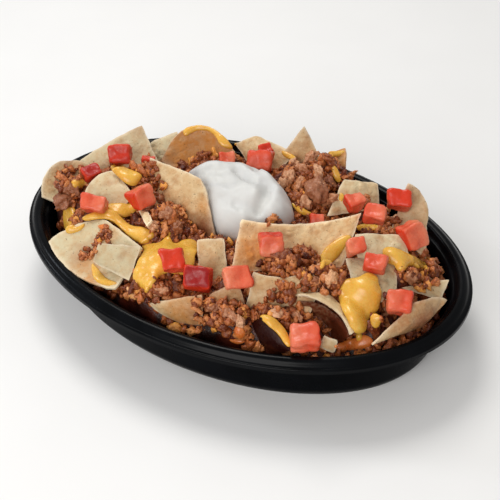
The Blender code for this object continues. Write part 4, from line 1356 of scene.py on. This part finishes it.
# %% Sauce shapes
# (radius of the sauce at its edge, radius in its middle, outlines in the frame), with radii in millimetres.
POOLS = {
    "cheese_strap": (0.9, 2.0, [
        [(111, 167), (119, 164), (126, 169), (140, 175), (139, 180), (134, 185), (126, 182), (118, 175)],
    ]),
    "cheese_left": (0.7, 1.6, [
        [(101, 207), (113, 204), (126, 204), (139, 203), (137, 209), (128, 216), (119, 216), (109, 212)],
        [(103, 210), (114, 212), (122, 219), (131, 226), (143, 228), (153, 233), (152, 238), (140, 242),
         (131, 237), (121, 228), (113, 221), (102, 218), (87, 220), (84, 217)],
        [(64, 211), (73, 208), (75, 214), (71, 220), (76, 228), (84, 224), (80, 230), (67, 232)],
    ]),
    "cheese_pool": (0.8, 1.8, [
        [(168, 237), (173, 244), (183, 244), (191, 249), (194, 257), (191, 269), (183, 274), (169, 272),
         (161, 274), (154, 281), (149, 289), (139, 285), (134, 277), (138, 263), (145, 251), (143, 246),
         (160, 243)],
        [(180, 243), (190, 240), (196, 243), (196, 252), (190, 258), (184, 254)],
    ]),
    "cheese_ribbon": (0.7, 1.3, [
        [(320, 259), (325, 250), (334, 242), (346, 236), (351, 238), (345, 246), (337, 257), (328, 265),
         (322, 265)],
    ]),
    "cheese_blob": (1.0, 2.0, [
        [(341, 290), (346, 281), (358, 279), (368, 274), (376, 278), (377, 284), (380, 292), (379, 300),
         (376, 310), (370, 314), (366, 322), (364, 330), (358, 332), (353, 329), (349, 319), (344, 310),
         (341, 300)],
    ]),
    "cheese_right": (0.9, 1.9, [
        [(384, 251), (389, 248), (400, 251), (408, 255), (415, 258), (422, 263), (424, 268), (416, 267),
         (408, 265), (403, 270), (398, 269), (395, 264), (386, 261)],
    ]),
    "cheese_arch": (0.6, 1.1, [
        [(184, 130), (192, 126), (202, 125), (211, 127), (220, 131), (229, 136), (236, 142), (235, 148),
         (227, 148), (220, 144), (216, 137), (209, 131), (198, 130), (191, 133), (185, 136)],
    ]),
    "cheese_front": (0.8, 1.5, [
        [(261, 317), (267, 316), (275, 320), (282, 327), (287, 335), (290, 346), (285, 343), (278, 333),
         (269, 325)],
    ]),
    "orange_smears": (0.5, 1.2, [
        [(236, 326), (243, 328), (245, 335), (240, 339), (235, 334)],
        [(229, 340), (237, 339), (245, 341), (238, 344)],
        [(334, 346), (345, 341), (355, 338), (364, 335), (373, 340), (368, 347), (352, 350), (340, 350)],
        [(98, 226), (106, 224), (110, 228), (103, 230)],
    ]),
    "cheese_drips": (0.5, 1.1, [
        [(92, 264), (97, 268), (106, 278), (117, 283), (112, 286), (100, 284), (93, 276)],
        [(356, 227), (363, 224), (377, 225), (379, 229), (370, 231), (360, 231)],
        [(371, 316), (376, 313), (381, 318), (379, 326), (374, 328), (371, 323)],
        [(327, 150), (336, 151), (345, 151), (340, 156), (331, 156)],
        [(332, 166), (337, 168), (341, 180), (337, 182), (333, 175)],
        [(282, 151), (289, 153), (296, 157), (292, 160), (284, 156)],
        [(340, 193), (344, 195), (342, 202), (339, 200)],
        [(72, 181), (82, 179), (87, 182), (83, 187), (74, 188)],
        [(292, 203), (299, 206), (306, 210), (312, 214), (304, 215), (296, 210)],
    ]),
}
# Drips and strands: (places in the frame along it, radius at its start, radius at its end).
STRANDS = {
    "cheese_blob": [
        ([(358, 328), (359, 335), (360, 342)], 1.9, 1.5), ([(347, 312), (351, 321), (355, 328)], 1.2, 1.0),
    ],
    "cheese_left": [([(150, 236), (147, 241), (140, 243)], 1.5, 1.0)],
    "cheese_pool": [([(168, 239), (170, 232)], 1.2, 0.7), ([(148, 286), (146, 292)], 1.4, 1.0)],
    "cheese_right": [([(417, 262), (424, 264), (427, 269)], 1.4, 0.9)],
    "cheese_ribbon": [([(324, 262), (321, 268)], 1.4, 0.9)],
}


def neighbours(depths, reach):
    """The grid of depths moved by each step within a reach."""
    for i in range(-reach, reach + 1):
        for j in range(-reach, reach + 1):
            if i * i + j * j <= reach * reach:
                yield np.roll(depths, (i, j), (0, 1))


def bridged_depths(depths, reach, passes):
    """Depths on a grid with narrow gaps closed and the rest averaged, as thick sauce lies over crumbs."""
    seen = np.isfinite(depths)
    nearest = depths.copy()
    for moved in neighbours(depths, reach):
        nearest = np.fmin(nearest, moved)
    closed = nearest.copy()
    for moved in neighbours(nearest, reach):
        closed = np.fmax(closed, moved)
    closed = np.where(seen, np.minimum(closed, depths), np.nan)
    for _ in range(passes):
        total, weight = np.zeros_like(closed), np.zeros_like(closed)
        for moved in neighbours(closed, 2):
            near = np.isfinite(moved) & (np.abs(moved - closed) < LARGEST_STEP * MM)
            total += np.where(near, moved, 0)
            weight += near
        closed = np.where(seen, total / np.maximum(weight, 1), np.nan)
    return closed


def pool_balls(outline, edge, middle, ground, guide):
    """Balls of sauce over the food inside an outline in the frame: places in millimetres, and sizes."""
    corners = [tuple(point) for point in closed_curve(outline, 5 * len(outline))]
    low = np.floor(np.min(corners, axis=0)) - 3
    high = np.ceil(np.max(corners, axis=0)) + 3
    across, down = np.meshgrid(np.arange(low[0], high[0], BALL_STEP), np.arange(low[1], high[1], BALL_STEP))
    inside = inside_area(corners, across, down)
    distance = edge_distance(corners, across, down)
    depths = np.full(across.shape, np.nan)
    for index in zip(*np.nonzero(inside)):
        line = sight_line(across[index], down[index])
        hits = [tree.ray_cast(EYE, line)[3] for tree in (ground, guide) if tree]
        hits = [hit for hit in hits if hit is not None]
        if hits:
            depths[index] = min(hits)
    depths = bridged_depths(depths, 5, 8)
    places, sizes = [], []
    for index in zip(*np.nonzero(np.isfinite(depths))):
        share = min(1.0, distance[index] / EDGE_PIXELS)
        size = edge + (middle - edge) * share * (2 - share)
        size *= 1 + 0.12 * noise.noise(Vector((across[index] / 9, down[index] / 9, 5.0)))
        place = EYE + sight_line(across[index], down[index]) * (depths[index] - size * BALL_LIFT * MM)
        places.append(place / MM)
        sizes.append(size)
    return places, sizes


def strand_balls(path, start, end, ground):
    """Balls of sauce along a path in the frame."""
    places, sizes = [], []
    for number, (first, second) in enumerate(zip(path, path[1:])):
        steps = max(2, round(math.dist(first, second) / 0.7))
        for step in range(steps):
            share = (number + step / steps) / (len(path) - 1)
            spot = Vector(first).lerp(Vector(second), step / steps)
            line = sight_line(*spot)
            hit = ground.ray_cast(EYE, line)[0]
            size = start + (end - start) * share
            if hit is not None:
                places.append((hit - line * size * BALL_LIFT * MM) / MM)
                sizes.append(size)
    return places, sizes


def smoothed(mesh, passes):
    shell = bmesh.new()
    shell.from_mesh(mesh)
    axes = {"use_axis_x": True, "use_axis_y": True, "use_axis_z": True}
    for _ in range(passes):
        bmesh.ops.smooth_vert(shell, verts=shell.verts, factor=0.5, **axes)
    shell.to_mesh(mesh)
    shell.free()


sauce_ground = tree_of([*chips, core, beef_lumps, beef_crumbs, beef_spills, beef_large])


def make_sauce(name):
    edge, middle, outlines = POOLS[name]
    guide = tree_of([bpy.data.objects[name]]) if name in frame["nodes"] else None
    finish = orange_glossy if name == "orange_smears" else cheese_glossy
    heaps = [pool_balls(outline, edge, middle, sauce_ground, guide) for outline in outlines]
    heaps += [strand_balls(*strand, sauce_ground) for strand in STRANDS.get(name, ())]
    places = [place for heap in heaps for place in heap[0]]
    sizes = [size for heap in heaps for size in heap[1]]
    mesh = grown(name + "_sauce", places, sizes, SAUCE, {"Cell": SAUCE_CELL * MM, "Finish": finish})
    smoothed(mesh, SMOOTHING)
    print(name, len(places), "balls,", len(mesh.polygons), "faces")
    return finish_piece(name + "_sauce", mesh, finish, nodes_named(name))


sauces = [make_sauce(name) for name in POOLS]

# %% Sliver of chip in the sauce
SLIVER = [(138, 209), (145, 207), (153, 221), (147, 227)]  # its corners in the frame
SLIVER_LIFT = 2.0  # millimetres above what carries it


def make_sliver():
    """A chip's broken edge that stands out of the sauce, laid on what the eye sees there."""
    ground = tree_of([*sauces, *chips, core, beef_lumps, beef_crumbs, beef_large])
    corners = []
    for across, down in SLIVER:
        line = sight_line(across, down)
        corners.append((ground.ray_cast(EYE, line)[0] - line * SLIVER_LIFT * MM) / MM)
    return make_chip("chip_sliver", corners, belly=0.6, pale=0.8, shade=1.1)


sliver = make_sliver()
print("sliver of chip,", len(sliver.data.polygons), "faces")

# %% [markdown]
# ## Floor and finish
#
# A plain pale floor carries the bowl. The lumps that were only patterns for the scattering are removed.

# %% Floor and finish
FLOOR_REACH = 3  # metres


def make_floor():
    made, tree, place = start_finish("pale_floor", 0.6, Specular_IOR_Level=0.2)
    cloud = cloudy(tree, place, 60, 2.0)
    colour = mixed(tree, cloud, (0.86, 0.86, 0.86, 1.0), (0.9, 0.9, 0.9, 1.0))
    tree.links.new(colour, tree.nodes[SHADER].inputs["Base Color"])
    mesh = bpy.data.meshes.new("floor")
    corners = [(x * FLOOR_REACH, y * FLOOR_REACH, 0) for x, y in ((-1, -1), (1, -1), (1, 1), (-1, 1))]
    mesh.from_pydata(corners, [], [(0, 1, 2, 3)])
    mesh.materials.append(made)
    floor = bpy.data.objects.new("floor", mesh)
    bpy.context.scene.collection.objects.link(floor)


make_floor()
for family in (lumps_plain, lumps_fine, grains_plain, lumps_large):
    for kind in list(family.objects):
        bpy.data.objects.remove(kind)
    bpy.data.collections.remove(family)
